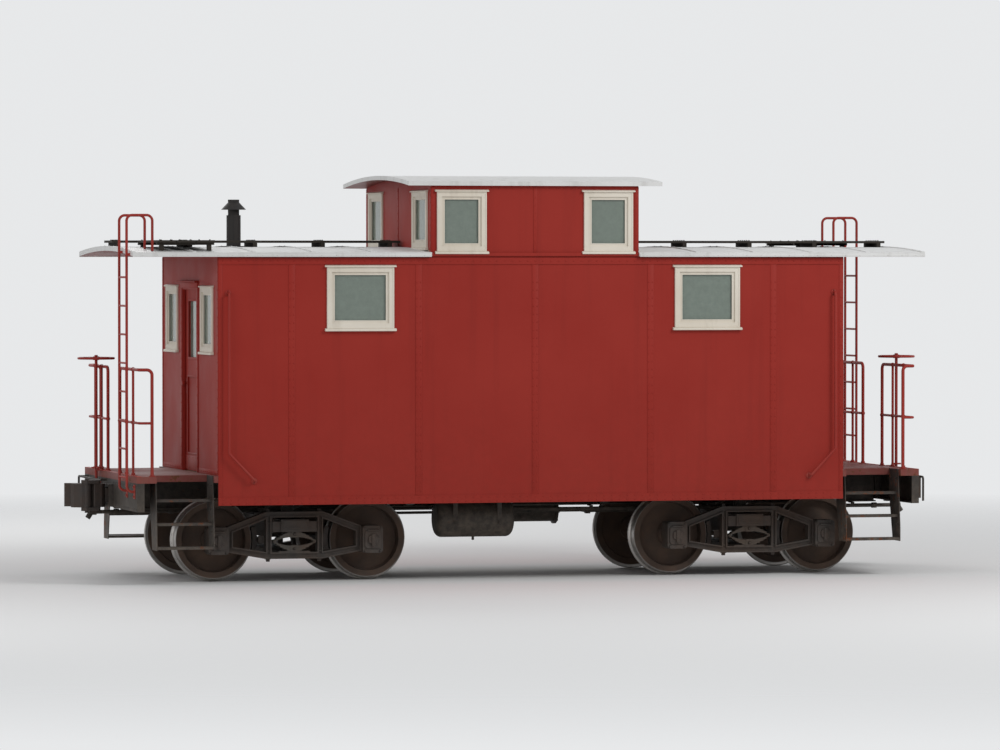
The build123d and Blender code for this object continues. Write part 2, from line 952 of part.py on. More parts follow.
with BuildPart() as hand_brakes:
    for _, end in ENDS:
        y = -end * brake_y
        bar((end * brake_x, y, sill_bottom), (end * brake_x, y, brake_wheel_z + staff_end), staff_radius)
        bracket_half, bracket_thick = staff_bracket
        for z in (sill_top - 2 * staff_bracket_lap, sill_top - end_sill_depth + staff_bracket_lap):
            block(
                (end * platform_end, end * (brake_x + staff_bracket_lap)),
                (y - bracket_half, y + bracket_half),
                (z - bracket_thick, z + bracket_thick),
            )
        block(
            (end * (railing_x + rail_radius + seat_gap), end * brake_x),
            (y - staff_clip, y + staff_clip),
            (railing_top - staff_clip, railing_top + staff_clip),
        )
        with Locations((end * brake_x, y, brake_wheel_z)):
            Torus(brake_wheel_radius, brake_rim_radius)
            Cylinder(brake_hub_radius, brake_hub_height)
            with PolarLocations(0, spokes):
                with Locations(Location((brake_wheel_radius / 2, 0, 0), (0, 90, 0))):
                    Cylinder(spoke_radius, brake_wheel_radius - brake_rim_radius)
keep(hand_brakes, "hand_brakes")

# Couplers and their knuckles. Outlines are seen from above, in distances from the back of
# the head and across the car, for the right end
head_back = striker_face + 60.0
head_height = 250.0
head_corner = 9.0
lug_height = 330.0
lug_thickness = 38.0
lug_low = coupler_z - lug_height / 2
lug_high = coupler_z + lug_height / 2
knuckle_pin_x = head_back + 165.0
knuckle_pin_y = 88.0
knuckle_pin_radius = 21.0
pin_head = 14.0
pin_foot = 20.0
knuckle_hub = 52.0
knuckle_corner = 12.0
knuckle_height = lug_height - 2 * lug_thickness - 2 * seat_gap
hub_gap = 6.0
hub_wall = (20.0, 95.0, 20.0, 118.0)
HEAD = (
    (-40, -65), (0, -112), (150, -150), (345, -190), (365, -165), (240, -100),
    (165, -55), (130, -20), (120, 40), (90, 135), (0, 112), (-40, 65),
)
LUG = ((20, 20), (185, 20), (220, 60), (220, 115), (175, 150), (40, 135), (20, 110))
KNUCKLE = (
    (155, 138), (225, 128), (300, 85), (325, 30), (315, -25), (270, -35), (250, -10), (245, 25), (195, 44),
)

for name, end in ENDS:
    pin = (end * knuckle_pin_x, end * knuckle_pin_y)
    with BuildPart() as coupler:
        # Shank with an eye round the draft pin
        block(
            (end * coupler_pivot, end * head_back),
            (-shank_width / 2, shank_width / 2),
            (shank_low, shank_high),
        )
        bar((end * coupler_pivot, 0, shank_low), (end * coupler_pivot, 0, shank_high), shank_eye)
        # Head: throat, guard arm and the wall behind the knuckle
        with BuildSketch(Plane.XY.offset(coupler_z)) as head:
            with BuildLine():
                Polyline(*[(end * (head_back + x), end * y) for x, y in HEAD], close=True)
            make_face()
            fillet(head.vertices(), head_corner)
        extrude(amount=head_height / 2, both=True)
        # Lugs above and below the knuckle, and the wall between them behind its hub
        for low in (lug_low, lug_high - lug_thickness):
            with BuildSketch(Plane.XY.offset(low)) as lug:
                with BuildLine():
                    Polyline(*[(end * (head_back + x), end * y) for x, y in LUG], close=True)
                make_face()
                fillet(lug.vertices(), head_corner)
            extrude(amount=lug_thickness)
        wall_start, wall_end, wall_inner, wall_outer = hub_wall
        block(
            (end * (head_back + wall_start), end * (head_back + wall_end)),
            (end * wall_inner, end * wall_outer),
            (lug_low, lug_high),
        )
        bar(
            (*pin, lug_low + lug_thickness),
            (*pin, lug_high - lug_thickness),
            knuckle_hub + hub_gap,
            mode=Mode.SUBTRACT,
        )
        bar((*pin, lug_low - pin_foot), (*pin, lug_high + pin_head), knuckle_pin_radius)
        bar(
            (end * coupler_pivot, 0, shank_low),
            (end * coupler_pivot, 0, shank_high),
            pivot_radius + pin_gap,
            mode=Mode.SUBTRACT,
        )
    keep(coupler, f"coupler_{name}")
    with BuildPart() as knuckle:
        with BuildSketch(Plane.XY.offset(coupler_z - knuckle_height / 2)) as jaw:
            with BuildLine():
                Polyline(*[(end * (head_back + x), end * y) for x, y in KNUCKLE], close=True)
            make_face()
            fillet(jaw.vertices(), knuckle_corner)
            with Locations(pin):
                Circle(knuckle_hub)
                Circle(knuckle_pin_radius + pin_gap, mode=Mode.SUBTRACT)
        extrude(amount=knuckle_height)
    keep(knuckle, f"knuckle_{name}")

# Trucks
journal_radius = journal_diameter / 2
axle_radius = axle_diameter / 2
tread_radius = tread_diameter / 2
flange_radius = tread_radius + flange_height
axle_half = truck_wheelbase / 2
box_wheel_gap = 38.0
box_end_gap = 24.0
box_inner = wheel_face + box_wheel_gap
box_outer = journal_end + box_end_gap
box_half = 110.0
box_height = 290.0
box_corner = 34.0
seal_depth = 18.0
seal_radius = journal_radius + 16.0
collar_room = 16.0
lid_size = (176.0, 190.0)
lid_thickness = 14.0
lid_boss = (112.0, 96.0)
lid_boss_height = 16.0
lid_hinge_radius = 15.0
frame_y = (box_inner + box_outer) / 2 - 14.0
frame_thickness = 110.0
frame_rim = 15.0
pocket_depth = 24.0
window_half = 250.0
column = 60.0
chord_top = 300.0
window_top = 240.0
window_bottom = -130.0
chord_bottom = -200.0
chord = 74.0
end_post = 58.0
end_post_foot = 20.0
frame_inner = frame_y - frame_thickness / 2
frame_outer = frame_y + frame_thickness / 2

for name, end in ENDS:
    centre = end * truck_centres / 2
    with BuildPart() as side_frames:
        for side in (-1, 1):
            plane = Plane((centre, side * frame_y, axle_z), x_dir=(1, 0, 0), z_dir=(0, -1, 0))
            shoulder = axle_half - box_half
            with BuildSketch(plane) as outline:
                with BuildLine():
                    Polyline(
                        (-window_half - column, chord_top),
                        (window_half + column, chord_top),
                        (shoulder, box_height / 2),
                        (shoulder, end_post_foot - box_height / 2),
                        (window_half + column, chord_bottom),
                        (-window_half - column, chord_bottom),
                        (-shoulder, end_post_foot - box_height / 2),
                        (-shoulder, box_height / 2),
                        close=True,
                    )
                make_face()
                with Locations((0, (window_top + window_bottom) / 2)):
                    Rectangle(2 * window_half, window_top - window_bottom, mode=Mode.SUBTRACT)
                for way in (-1, 1):
                    inset = shoulder - end_post
                    with BuildLine():
                        Polyline(
                            (way * (window_half + column), chord_top - chord),
                            (way * inset, box_height / 2 - end_post),
                            (way * inset, end_post_foot - box_height / 2 + end_post),
                            (way * (window_half + column), chord_bottom + chord),
                            close=True,
                        )
                    make_face(mode=Mode.SUBTRACT)
            extrude(outline.sketch, amount=frame_thickness / 2, both=True)
            # Pockets between the rims of each member, open outward
            with BuildSketch(plane.offset(-side * frame_thickness / 2)) as pockets:
                offset(outline.sketch_local, amount=-frame_rim, kind=Kind.INTERSECTION)
            extrude(pockets.sketch, amount=side * pocket_depth, mode=Mode.SUBTRACT)
            # Journal boxes, each with a lid hung from a hinge on its outer face
            for way in (-1, 1):
                x = centre + way * axle_half
                face = Plane((x, side * box_inner, axle_z), x_dir=(side, 0, 0), z_dir=(0, side, 0))
                with BuildSketch(face) as box:
                    RectangleRounded(2 * box_half, box_height, box_corner)
                extrude(box.sketch, amount=box_outer - box_inner)
                with BuildSketch(face.offset(box_outer - box_inner)) as lid:
                    RectangleRounded(*lid_size, box_corner)
                extrude(lid.sketch, amount=lid_thickness)
                with BuildSketch(face.offset(box_outer - box_inner + lid_thickness)) as boss:
                    RectangleRounded(*lid_boss, box_corner)
                extrude(boss.sketch, amount=lid_boss_height, taper=lid_boss_height)
                hinge_z = axle_z + lid_size[1] / 2
                hinge = (side * (box_outer + lid_hinge_radius / 2), hinge_z)
                bar((x - lid_boss[0] / 2, *hinge), (x + lid_boss[0] / 2, *hinge), lid_hinge_radius)
                for start, stop, radius in (
                    (box_inner - seat_gap, box_outer - box_end_gap + seal_depth, journal_radius + pin_gap),
                    (box_inner - seat_gap, box_inner + seal_depth, seal_radius),
                    (journal_end - collar_room, journal_end + collar_room / 2, seal_radius),
                ):
                    bar((x, side * start, axle_z), (x, side * stop, axle_z), radius, mode=Mode.SUBTRACT)
    keep(side_frames, f"truck_{name}_side_frames")

# Spring planks, the full elliptic leaf springs on their ends, and the truck bolsters
plank_thickness = 12.0
plank_half = 170.0
plank_flange = 70.0
plank_frame_gap = 6.0
spring_base = axle_z + window_bottom + plank_thickness
spring_height = 204.0
spring_leaf = 11.0
leaves = 5
spring_gap = 22.0
spring_side_gap = 4.0
spring_eye = 17.0
band_half = 42.0
band_lap = 6.0
spring_half = window_half - spring_gap
spring_middle = spring_base + spring_height / 2
bolster_end_bottom = spring_base + spring_height
leaf_rise = spring_height / 2 - leaves * spring_leaf
leaf_radius = (spring_half * spring_half + leaf_rise * leaf_rise) / (2 * leaf_rise)
truck_bolster_half = 150.0
bolster_tip = 20.0
bolster_belly = 90.0
bolster_belly_half = 250.0
bolster_guide = 110.0
bolster_guide_gap = 8.0
bowl_wall = 40.0
bowl_depth = 20.0
bowl_gap = 4.0


def add_leaf(middle_x, way, index):
    """Add one leaf of a spring's upper or lower bow to a sketch that looks along Y."""
    half = spring_half * (1 - index / (leaves + 1))
    angle = asin(half / leaf_radius)
    centre_z = spring_middle + way * (leaf_rise - leaf_radius)
    ring = []
    for radius in (leaf_radius + index * spring_leaf, leaf_radius + (index + 1) * spring_leaf):
        reach = radius * sin(angle)
        tip = centre_z + way * radius * cos(angle)
        ring.append(((middle_x - reach, tip), (middle_x, centre_z + way * radius), (middle_x + reach, tip)))
    inner, outer = ring
    with BuildLine() as outline:
        ThreePointArc(*inner)
        Line(inner[2], outer[2])
        ThreePointArc(*outer)
        Line(outer[0], inner[0])
    make_face(outline.edges())


for name, end in ENDS:
    centre = end * truck_centres / 2
    with BuildPart() as spring_plank:
        plank_z = axle_z + window_bottom
        block((centre - plank_half, centre + plank_half), (-frame_outer, frame_outer), (plank_z, spring_base))
        for way in (-1, 1):
            block(
                (centre + way * (plank_half - plank_thickness), centre + way * plank_half),
                (plank_frame_gap - frame_inner, frame_inner - plank_frame_gap),
                (plank_z - plank_flange, plank_z),
            )
    keep(spring_plank, f"truck_{name}_spring_plank")

    with BuildPart() as springs:
        for side in (-1, 1):
            with BuildSketch(Plane.XZ.offset(-side * frame_y)) as bows:
                for way in (-1, 1):
                    for index in range(leaves):
                        add_leaf(centre, way, index)
                    with Locations((centre + way * (spring_half - spring_eye / 2), spring_middle)):
                        Circle(spring_eye)
            extrude(bows.sketch, amount=frame_thickness / 2 - spring_side_gap, both=True)
            for low in (spring_base, bolster_end_bottom - leaves * spring_leaf - band_lap):
                block(
                    (centre - band_half, centre + band_half),
                    (side * frame_inner, side * frame_outer),
                    (low, low + leaves * spring_leaf + band_lap),
                )
    keep(springs, f"truck_{name}_springs")

    with BuildPart() as truck_bolster:
        reach = frame_outer + bolster_tip
        root = frame_y - frame_thickness
        with BuildSketch(Plane.YZ.offset(centre)):
            with BuildLine():
                Polyline(
                    (-reach, truck_bolster_top),
                    (-reach, bolster_end_bottom),
                    (-root, bolster_end_bottom),
                    (-bolster_belly_half, bolster_end_bottom - bolster_belly),
                    (bolster_belly_half, bolster_end_bottom - bolster_belly),
                    (root, bolster_end_bottom),
                    (reach, bolster_end_bottom),
                    (reach, truck_bolster_top),
                    close=True,
                )
            make_face()
        extrude(amount=truck_bolster_half, both=True)
        guide = window_half - bolster_guide_gap
        for side in (-1, 1):
            block(
                (centre - guide, centre + guide),
                (side * frame_inner, side * frame_outer),
                (bolster_end_bottom, bolster_end_bottom + bolster_guide),
            )
            y = side * side_bearing_y
            block(
                (centre - bearing_half, centre + bearing_half),
                (y - bearing_half, y + bearing_half),
                (truck_bolster_top, truck_bolster_top + side_bearing_height),
            )
        rim = centre_plate_radius + bowl_wall
        bar((centre, 0, truck_bolster_top), (centre, 0, truck_top_z + bowl_depth), rim)
        bar(
            (centre, 0, truck_top_z),
            (centre, 0, truck_top_z + bowl_depth),
            centre_plate_radius + bowl_gap,
            mode=Mode.SUBTRACT,
        )
    keep(truck_bolster, f"truck_{name}_bolster")

# Wheelsets: half of the section from the middle of the axle to the end of the journal, as
# distance along the axle and radius, turned about the axle and mirrored
hub_radius = 128.0
hub_back = 12.0
plate_root = 134.0
rim_depth = 76.0
flange_round = 12.0
wheel_hub_face = wheel_face + 16.0

for name, end in ENDS:
    for number, way in ((1, -1), (2, 1)):
        x = end * truck_centres / 2 + way * axle_half
        with BuildPart() as wheelset:
            with BuildSketch(Plane(origin=(x, 0, axle_z), x_dir=(0, 1, 0), z_dir=(1, 0, 0))):
                with BuildLine():
                    Polyline(
                        (0, 0),
                        (0, axle_radius - 8),
                        (wheel_back - 30, axle_radius),
                        (wheel_back - hub_back, axle_radius + 4),
                        (wheel_back - hub_back, hub_radius),
                        (wheel_back + 30, plate_root),
                        (wheel_back + 20, tread_radius - rim_depth - 12),
                        (wheel_back, tread_radius - rim_depth - 4),
                        (wheel_back, flange_radius - flange_round),
                    )
                    ThreePointArc(
                        (wheel_back, flange_radius - flange_round),
                        (wheel_back + flange_round, flange_radius),
                        (wheel_back + 2 * flange_round, flange_radius - flange_round),
                    )
                    Polyline(
                        (wheel_back + 2 * flange_round, flange_radius - flange_round),
                        (wheel_back + 34, tread_radius + 2),
                        (wheel_face - 8, tread_radius - 5),
                        (wheel_face, tread_radius - 12),
                        (wheel_face, tread_radius - rim_depth + 4),
                        (wheel_back + 48, tread_radius - rim_depth - 8),
                        (wheel_back + 60, plate_root),
                        (wheel_hub_face, plate_root - 12),
                        (wheel_hub_face, journal_radius + 10),
                        (box_inner + 4, journal_radius + 8),
                        (box_inner + 14, journal_radius),
                        (journal_end - 14, journal_radius),
                        (journal_end - 12, journal_radius + 8),
                        (journal_end, journal_radius + 8),
                        (journal_end, 0),
                        (0, 0),
                    )
                make_face()
            revolve(axis=Axis((x, 0, axle_z), (0, 1, 0)))
            mirror(about=Plane.XZ)
        keep(wheelset, f"wheelset_{name}_{number}")

# Brake beams between the wheels, with a shoe behind each tread
shoe_gap = 9.0
shoe_thickness = 50.0
shoe_width = 80.0
shoe_half_angle = radians(17.0)
beam_radius = 26.0
beam_stand_off = shoe_gap + shoe_thickness - 8.0 + beam_radius
beam_end = 10.0
beam_guide = (90.0, 22.0, 42.0)
shoe_y = wheel_back + 78.0

for name, end in ENDS:
    with BuildPart() as brakes:
        for way in (-1, 1):
            x = end * truck_centres / 2 + way * axle_half
            beam_x = x - way * (tread_radius + beam_stand_off)
            bar(
                (beam_x, beam_end - frame_inner, axle_z),
                (beam_x, frame_inner - beam_end, axle_z),
                beam_radius,
            )
            guide_reach, guide_thickness, guide_half = beam_guide
            inner = tread_radius + shoe_gap
            outer = inner + shoe_thickness
            angles = (-shoe_half_angle, 0, shoe_half_angle)
            inside = [(-way * inner * cos(a), inner * sin(a)) for a in angles]
            outside = [(-way * outer * cos(a), outer * sin(a)) for a in angles]
            for side in (-1, 1):
                block(
                    (beam_x - way * guide_reach, beam_x + way * beam_radius),
                    (side * (frame_inner - guide_thickness), side * frame_inner),
                    (axle_z - guide_half, axle_z + guide_half),
                )
                with BuildSketch(Plane((x, side * shoe_y, axle_z), x_dir=(1, 0, 0), z_dir=(0, -1, 0))):
                    with BuildLine():
                        ThreePointArc(*inside)
                        Line(inside[2], outside[2])
                        ThreePointArc(*reversed(outside))
                        Line(outside[0], inside[0])
                    make_face()
                extrude(amount=shoe_width / 2, both=True)
    keep(brakes, f"truck_{name}_brakes")

# Air brake gear under the floor: the train pipe crosses below the centre sill
pipe_bore = 21.0
pipe_y = 290.0
pipe_z = sill_bottom - 38.0
pipe_end = striker_face + 60.0
pipe_cross = 650.0
pipe_bend = 200.0
hose_seat_start = 40.0
hose_seat_run = 44.0
hose_seat_drop = 66.0
hose_seat_radius = 17.0
hose_seat_wall = 12.0
cock_back = 12.0
cock_front = 70.0
cock_stem_x = 20.0
cock_stem_height = 62.0
cock_stem_radius = 14.0
cock_handle = (12.0, 130.0, 9.0, 10.0)
clip_half = 16.0
clip_thickness = 10.0
clip_inboard = 20.0
clip_places = (950.0, 1900.0, truck_centres / 2 + 770.0, platform_end - 370.0)

with BuildPart() as brake_pipe:
    bent_bar(
        [
            (-pipe_end, pipe_y, pipe_z),
            (-pipe_cross, pipe_y, pipe_z),
            (pipe_cross, -pipe_y, pipe_z),
            (pipe_end, -pipe_y, pipe_z),
        ],
        pipe_bore,
        pipe_bend,
    )
    for _, end in ENDS:
        y = -end * pipe_y
        for x in clip_places:
            clip = (end * (x - clip_half), end * (x + clip_half))
            block(
                clip,
                (-end * (half_sill + clip_inboard), y - end * clip_inboard),
                (sill_bottom - clip_thickness, sill_bottom),
            )
            block(clip, (y + end * clip_thickness, y - end * clip_inboard), (pipe_z, sill_bottom))
        # Angle cock with its handle, and the threaded seat that points down for the hose
        bar(
            (end * (pipe_end - cock_back), y, pipe_z),
            (end * (pipe_end + cock_front), y, pipe_z),
            pipe_bore + hose_seat_wall,
        )
        start = end * (pipe_end + hose_seat_start)
        mouth = (start + end * hose_seat_run, y, pipe_z - hose_seat_drop)
        bar((start, y, pipe_z), mouth, hose_seat_radius + hose_seat_wall)
        inside = (start + end * hose_seat_run / 2, y, pipe_z - hose_seat_drop / 2)
        bar(inside, mouth, hose_seat_radius, mode=Mode.SUBTRACT)
        stem_x = end * (pipe_end + cock_stem_x)
        bar((stem_x, y, pipe_z), (stem_x, y, pipe_z + cock_stem_height), cock_stem_radius)
        handle_start, handle_end, handle_half, handle_thickness = cock_handle
        block(
            (end * (pipe_end + handle_start), end * (pipe_end + handle_end)),
            (y - handle_half, y + handle_half),
            (pipe_z + cock_stem_height - handle_thickness, pipe_z + cock_stem_height),
        )
keep(brake_pipe, "brake_pipe")

# Brake cylinder with its piston rod, cross lever and pull rods
cylinder_y = 640.0
cylinder_z = rail_z + 640.0
cylinder_radius = 135.0
cylinder_start = 250.0
cylinder_end = 800.0
cylinder_flange = (30.0, 26.0)
cylinder_hanger_inset = 125.0
cylinder_hanger = (6.0, 110.0)
rod_radius = 15.0
piston_rod_radius = 20.0
rod_y = 70.0
rod_spread = 190.0
rod_reach = 2180.0
lever_x = 1010.0
lever_half = 45.0
lever_thickness = 24.0
lever_lap = (70.0, 50.0)

with BuildPart() as brake_cylinder:
    bar((cylinder_start, cylinder_y, cylinder_z), (cylinder_end, cylinder_y, cylinder_z), cylinder_radius)
    flange_length, flange_proud = cylinder_flange
    for x in (cylinder_start, cylinder_end - flange_length):
        bar(
            (x, cylinder_y, cylinder_z),
            (x + flange_length, cylinder_y, cylinder_z),
            cylinder_radius + flange_proud,
        )
    bar((cylinder_end, cylinder_y, cylinder_z), (lever_x, cylinder_y, cylinder_z), piston_rod_radius)
    hanger_thick, hanger_half = cylinder_hanger
    for x in (cylinder_start + cylinder_hanger_inset, cylinder_end - cylinder_hanger_inset):
        block(
            (x - hanger_thick, x + hanger_thick),
            (cylinder_y - hanger_half, cylinder_y + hanger_half),
            (cylinder_z + cylinder_radius / 2, floor_bottom),
        )
    block(
        (lever_x - lever_half, lever_x + lever_half),
        (rod_y - lever_lap[0], cylinder_y + lever_lap[1]),
        (cylinder_z - lever_thickness / 2, cylinder_z + lever_thickness / 2),
    )
    bar((lever_x, rod_y, cylinder_z), (rod_reach, rod_y, cylinder_z), rod_radius)
    bar((lever_x, rod_y + rod_spread, cylinder_z), (-rod_reach, rod_y, cylinder_z), rod_radius)
keep(brake_cylinder, "brake_cylinder")

# Air reservoir with domed ends, hung in straps
tank_y = -640.0
tank_z = rail_z + 610.0
tank_radius = 200.0
tank_start = -900.0
tank_end = -50.0
tank_head_radius = 70.0
tank_strap_inset = 180.0
tank_strap_half = 25.0
tank_strap_thickness = 12.0
tank_strap_lap = 6.0
tank_strap_foot = 20.0

with BuildPart() as air_reservoir:
    bar((tank_start, tank_y, tank_z), (tank_end, tank_y, tank_z), tank_radius)
    fillet(air_reservoir.edges().filter_by(GeomType.CIRCLE), tank_head_radius)
    for x in (tank_start + tank_strap_inset, tank_end - tank_strap_inset):
        for side in (-1, 1):
            y = tank_y + side * (tank_radius - tank_strap_lap)
            block(
                (x - tank_strap_half, x + tank_strap_half),
                (y, y + side * tank_strap_thickness),
                (tank_z - tank_strap_foot, floor_bottom),
            )
keep(air_reservoir, "air_reservoir")

# Uncoupling levers along the end sills
lever_radius = 12.0
lever_bend = 30.0
lever_stand_off = 90.0
lever_z = sill_top - 20.0
lever_drop = 260.0
lever_handle_y = half_width - 120.0
lever_inner_y = 50.0
lever_bracket = 12.0
lever_bracket_y = (lever_handle_y - 90.0, lever_inner_y + 170.0)

with BuildPart() as uncoupling_levers:
    for _, end in ENDS:
        x = end * (platform_end + lever_stand_off)
        bent_bar(
            [
                (x, -end * lever_handle_y, lever_z - lever_drop),
                (x, -end * lever_handle_y, lever_z),
                (x, -end * lever_inner_y, lever_z),
            ],
            lever_radius,
            lever_bend,
        )
        for y in lever_bracket_y:
            block(
                (end * platform_end, x),
                (-end * (y - lever_bracket), -end * (y + lever_bracket)),
                (lever_z - lever_bracket, lever_z + lever_bracket),
            )
keep(uncoupling_levers, "uncoupling_levers")

# Stove, turned from its section: radius and height above the floor
stove_top = floor_top + 880.0
STOVE = (
    (0, 0), (215, 0), (190, 120), (205, 150), (230, 330), (205, 520), (165, 640), (215, 700),
    (215, 740), (110, 780), (pipe_radius + 12, stove_top - floor_top), (0, stove_top - floor_top),
)

with BuildPart() as stove:
    with BuildSketch(Plane((stove_x, stove_y, floor_top), x_dir=(1, 0, 0), z_dir=(0, -1, 0))):
        with BuildLine():
            Polyline(*STOVE, close=True)
        make_face()
    revolve(axis=Axis((stove_x, stove_y, floor_top), (0, 0, 1)))
keep(stove, "stove")

# Stove pipe through the roof, with its collar, outer sleeve and cap
jack_top = eave_z + 620.0
jack_collar = (70.0, 30.0)
jack_sleeve = 16.0
cap_height = 110.0
cap_gap = 60.0
cap_lip = 75.0
cap_tip = 30.0

with BuildPart() as smoke_jack:
    bar((stove_x, stove_y, stove_top), (stove_x, stove_y, jack_top), pipe_radius)
    collar_proud, collar_height = jack_collar
    under = arch_z(stove_y - pipe_radius - collar_proud, roof_half, eave_z + roof_thickness, roof_rise)
    collar_top = under + collar_height
    bar((stove_x, stove_y, under), (stove_x, stove_y, collar_top), pipe_radius + collar_proud)
    sleeve_top = jack_top - cap_height - cap_gap
    bar((stove_x, stove_y, collar_top), (stove_x, stove_y, sleeve_top), pipe_radius + jack_sleeve)
    with Locations((stove_x, stove_y, jack_top - cap_height / 2)):
        Cone(pipe_radius + cap_lip, pipe_radius - cap_tip, cap_height)
keep(smoke_jack, "smoke_jack")

# Benches along the sides, with a toe space: distances in from the cabin's end, then side
bench_depth = 640.0
bench_height = 420.0
toe_height = 90.0
toe_depth = 60.0
cushion_thickness = 90.0
BENCHES = [
    (270.0 - inner_x, 1970.0 - inner_x, -1),
    (inner_x - 1970.0, inner_x - 370.0, 1),
]

with BuildPart() as benches:
    for start, stop, side in BENCHES:
        front = inner_y - bench_depth
        block((start, stop), (side * front, side * inner_y), (floor_top, floor_top + bench_height))
        block(
            (start, stop),
            (side * front, side * (front + toe_depth)),
            (floor_top, floor_top + toe_height),
            mode=Mode.SUBTRACT,
        )
keep(benches, "benches")

# Desk: a top on a pedestal and a side panel
desk_end = inner_x - 670.0
desk_start = desk_end - 1200.0
desk_depth = 560.0
desk_height = 760.0
desk_board = 35.0
desk_lap = 40.0
desk_pedestal = 380.0

with BuildPart() as desk:
    desk_under = floor_top + desk_height - desk_board
    block((desk_start, desk_end), (-inner_y, desk_depth - inner_y), (desk_under, desk_under + desk_board))
    for start, stop in ((desk_start, desk_start + desk_pedestal), (desk_end - desk_lap, desk_end)):
        block((start, stop), (-inner_y, desk_depth - desk_lap - inner_y), (floor_top, desk_under))
keep(desk, "desk")

# Lockers below the cupola, which carry its raised seats
locker_half = 1000.0
locker_height = 1330.0
aisle_half = 430.0

with BuildPart() as cupola_lockers:
    for _, side in SIDES:
        front = aisle_half
        top = floor_top + locker_height
        block((-locker_half, locker_half), (side * front, side * inner_y), (floor_top, top))
        block(
            (-locker_half, locker_half),
            (side * front, side * (front + toe_depth)),
            (floor_top, floor_top + toe_height),
            mode=Mode.SUBTRACT,
        )
keep(cupola_lockers, "cupola_lockers")

# Seat cushions on the benches, and seats with backs on the lockers
cushion_end_inset = 15.0
cushion_wall_gap = 5.0
seat_start = 170.0
seat_length = 560.0
seat_inner = aisle_half + 60.0
seat_outer = inner_y - 90.0
seat_cushion = 110.0
seat_back = 110.0
seat_back_height = 620.0

with BuildPart() as seat_cushions:
    for start, stop, side in BENCHES:
        low = floor_top + bench_height + seat_gap
        block(
            (start + cushion_end_inset, stop - cushion_end_inset),
            (side * (inner_y - bench_depth + cushion_end_inset), side * (inner_y - cushion_wall_gap)),
            (low, low + cushion_thickness),
        )
    for _, end in ENDS:
        for _, side in SIDES:
            low = floor_top + locker_height + seat_gap
            across = (side * seat_inner, side * seat_outer)
            block((end * seat_start, end * (seat_start + seat_length)), across, (low, low + seat_cushion))
            block((end * (seat_start - seat_back), end * seat_start), across, (low, low + seat_back_height))
keep(seat_cushions, "seat_cushions")
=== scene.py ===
"""Dresses the caboose: paint and metal finishes, fastenings, joinery, cushions and the studio.

Lengths are in metres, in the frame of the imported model: X along the car, Y across it and
Z up, with the wheel flanges standing on Z = 0.
"""

import json
import logging
import math
from collections.abc import Callable, Iterator
from contextlib import contextmanager
from dataclasses import dataclass
from enum import Enum
from typing import NamedTuple

import bpy
from mathutils import Matrix, Vector


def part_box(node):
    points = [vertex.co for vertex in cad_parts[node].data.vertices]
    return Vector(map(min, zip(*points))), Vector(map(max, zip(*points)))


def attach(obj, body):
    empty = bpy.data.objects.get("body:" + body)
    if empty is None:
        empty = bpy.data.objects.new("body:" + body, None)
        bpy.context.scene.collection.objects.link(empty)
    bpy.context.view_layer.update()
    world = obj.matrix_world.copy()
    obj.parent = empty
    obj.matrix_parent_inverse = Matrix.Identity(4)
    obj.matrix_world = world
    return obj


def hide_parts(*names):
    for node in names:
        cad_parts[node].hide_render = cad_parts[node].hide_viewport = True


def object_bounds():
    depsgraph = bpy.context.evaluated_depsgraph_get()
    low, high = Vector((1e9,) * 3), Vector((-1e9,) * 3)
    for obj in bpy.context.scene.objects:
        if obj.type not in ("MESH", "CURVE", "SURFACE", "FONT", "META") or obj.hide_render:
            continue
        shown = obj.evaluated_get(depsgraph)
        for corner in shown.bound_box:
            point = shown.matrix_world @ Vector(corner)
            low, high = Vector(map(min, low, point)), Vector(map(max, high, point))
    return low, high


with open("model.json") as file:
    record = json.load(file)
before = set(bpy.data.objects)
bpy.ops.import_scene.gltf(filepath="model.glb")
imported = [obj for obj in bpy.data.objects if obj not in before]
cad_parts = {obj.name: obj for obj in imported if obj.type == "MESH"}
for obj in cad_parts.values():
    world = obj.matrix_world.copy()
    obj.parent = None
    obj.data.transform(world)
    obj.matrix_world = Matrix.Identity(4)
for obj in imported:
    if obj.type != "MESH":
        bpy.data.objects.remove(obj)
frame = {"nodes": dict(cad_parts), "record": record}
cad_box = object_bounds()

log = logging.getLogger("caboose")
ENDS = (("left", -1), ("right", 1))
SIDES = (("near", -1), ("far", 1))
Piece = bpy.types.Object
Colour = tuple[float, float, float]
Socket = bpy.types.NodeSocket


def middle(values: tuple[Vector, Vector]) -> Vector:
    """Middle of a box given by its two corners."""
    return (values[0] + values[1]) / 2


# Workshop


def clear() -> None:
    """Deselect everything."""
    bpy.ops.object.select_all(action="DESELECT")


def pick(*pieces: Piece) -> None:
    """Select these pieces only and make the first one active.

    Args:
        pieces: the pieces to select.
    """
    clear()
    for piece in pieces:
        piece.select_set(True)
    bpy.context.view_layer.objects.active = pieces[0]


def settle(piece: Piece) -> Piece:
    """Move a piece's place, turn and scale into its mesh.

    Args:
        piece: the piece to settle.

    Returns:
        The same piece.
    """
    pick(piece)
    bpy.ops.object.transform_apply(location=True, rotation=True, scale=True)
    return piece


def soften(piece: Piece, width: float, segments: int = 2, angle: float = 40.0) -> Piece:
    """Round the sharp edges of a piece.

    Args:
        piece: the piece to round.
        width: width of the rounded edge.
        segments: facets across the edge.
        angle: edges sharper than this many degrees are rounded.

    Returns:
        The same piece.
    """
    pick(piece)
    edge = piece.modifiers.new("edge", "BEVEL")
    edge.width = width
    edge.segments = segments
    edge.limit_method = "ANGLE"
    edge.angle_limit = math.radians(angle)
    bpy.ops.object.modifier_apply(modifier="edge")
    return piece


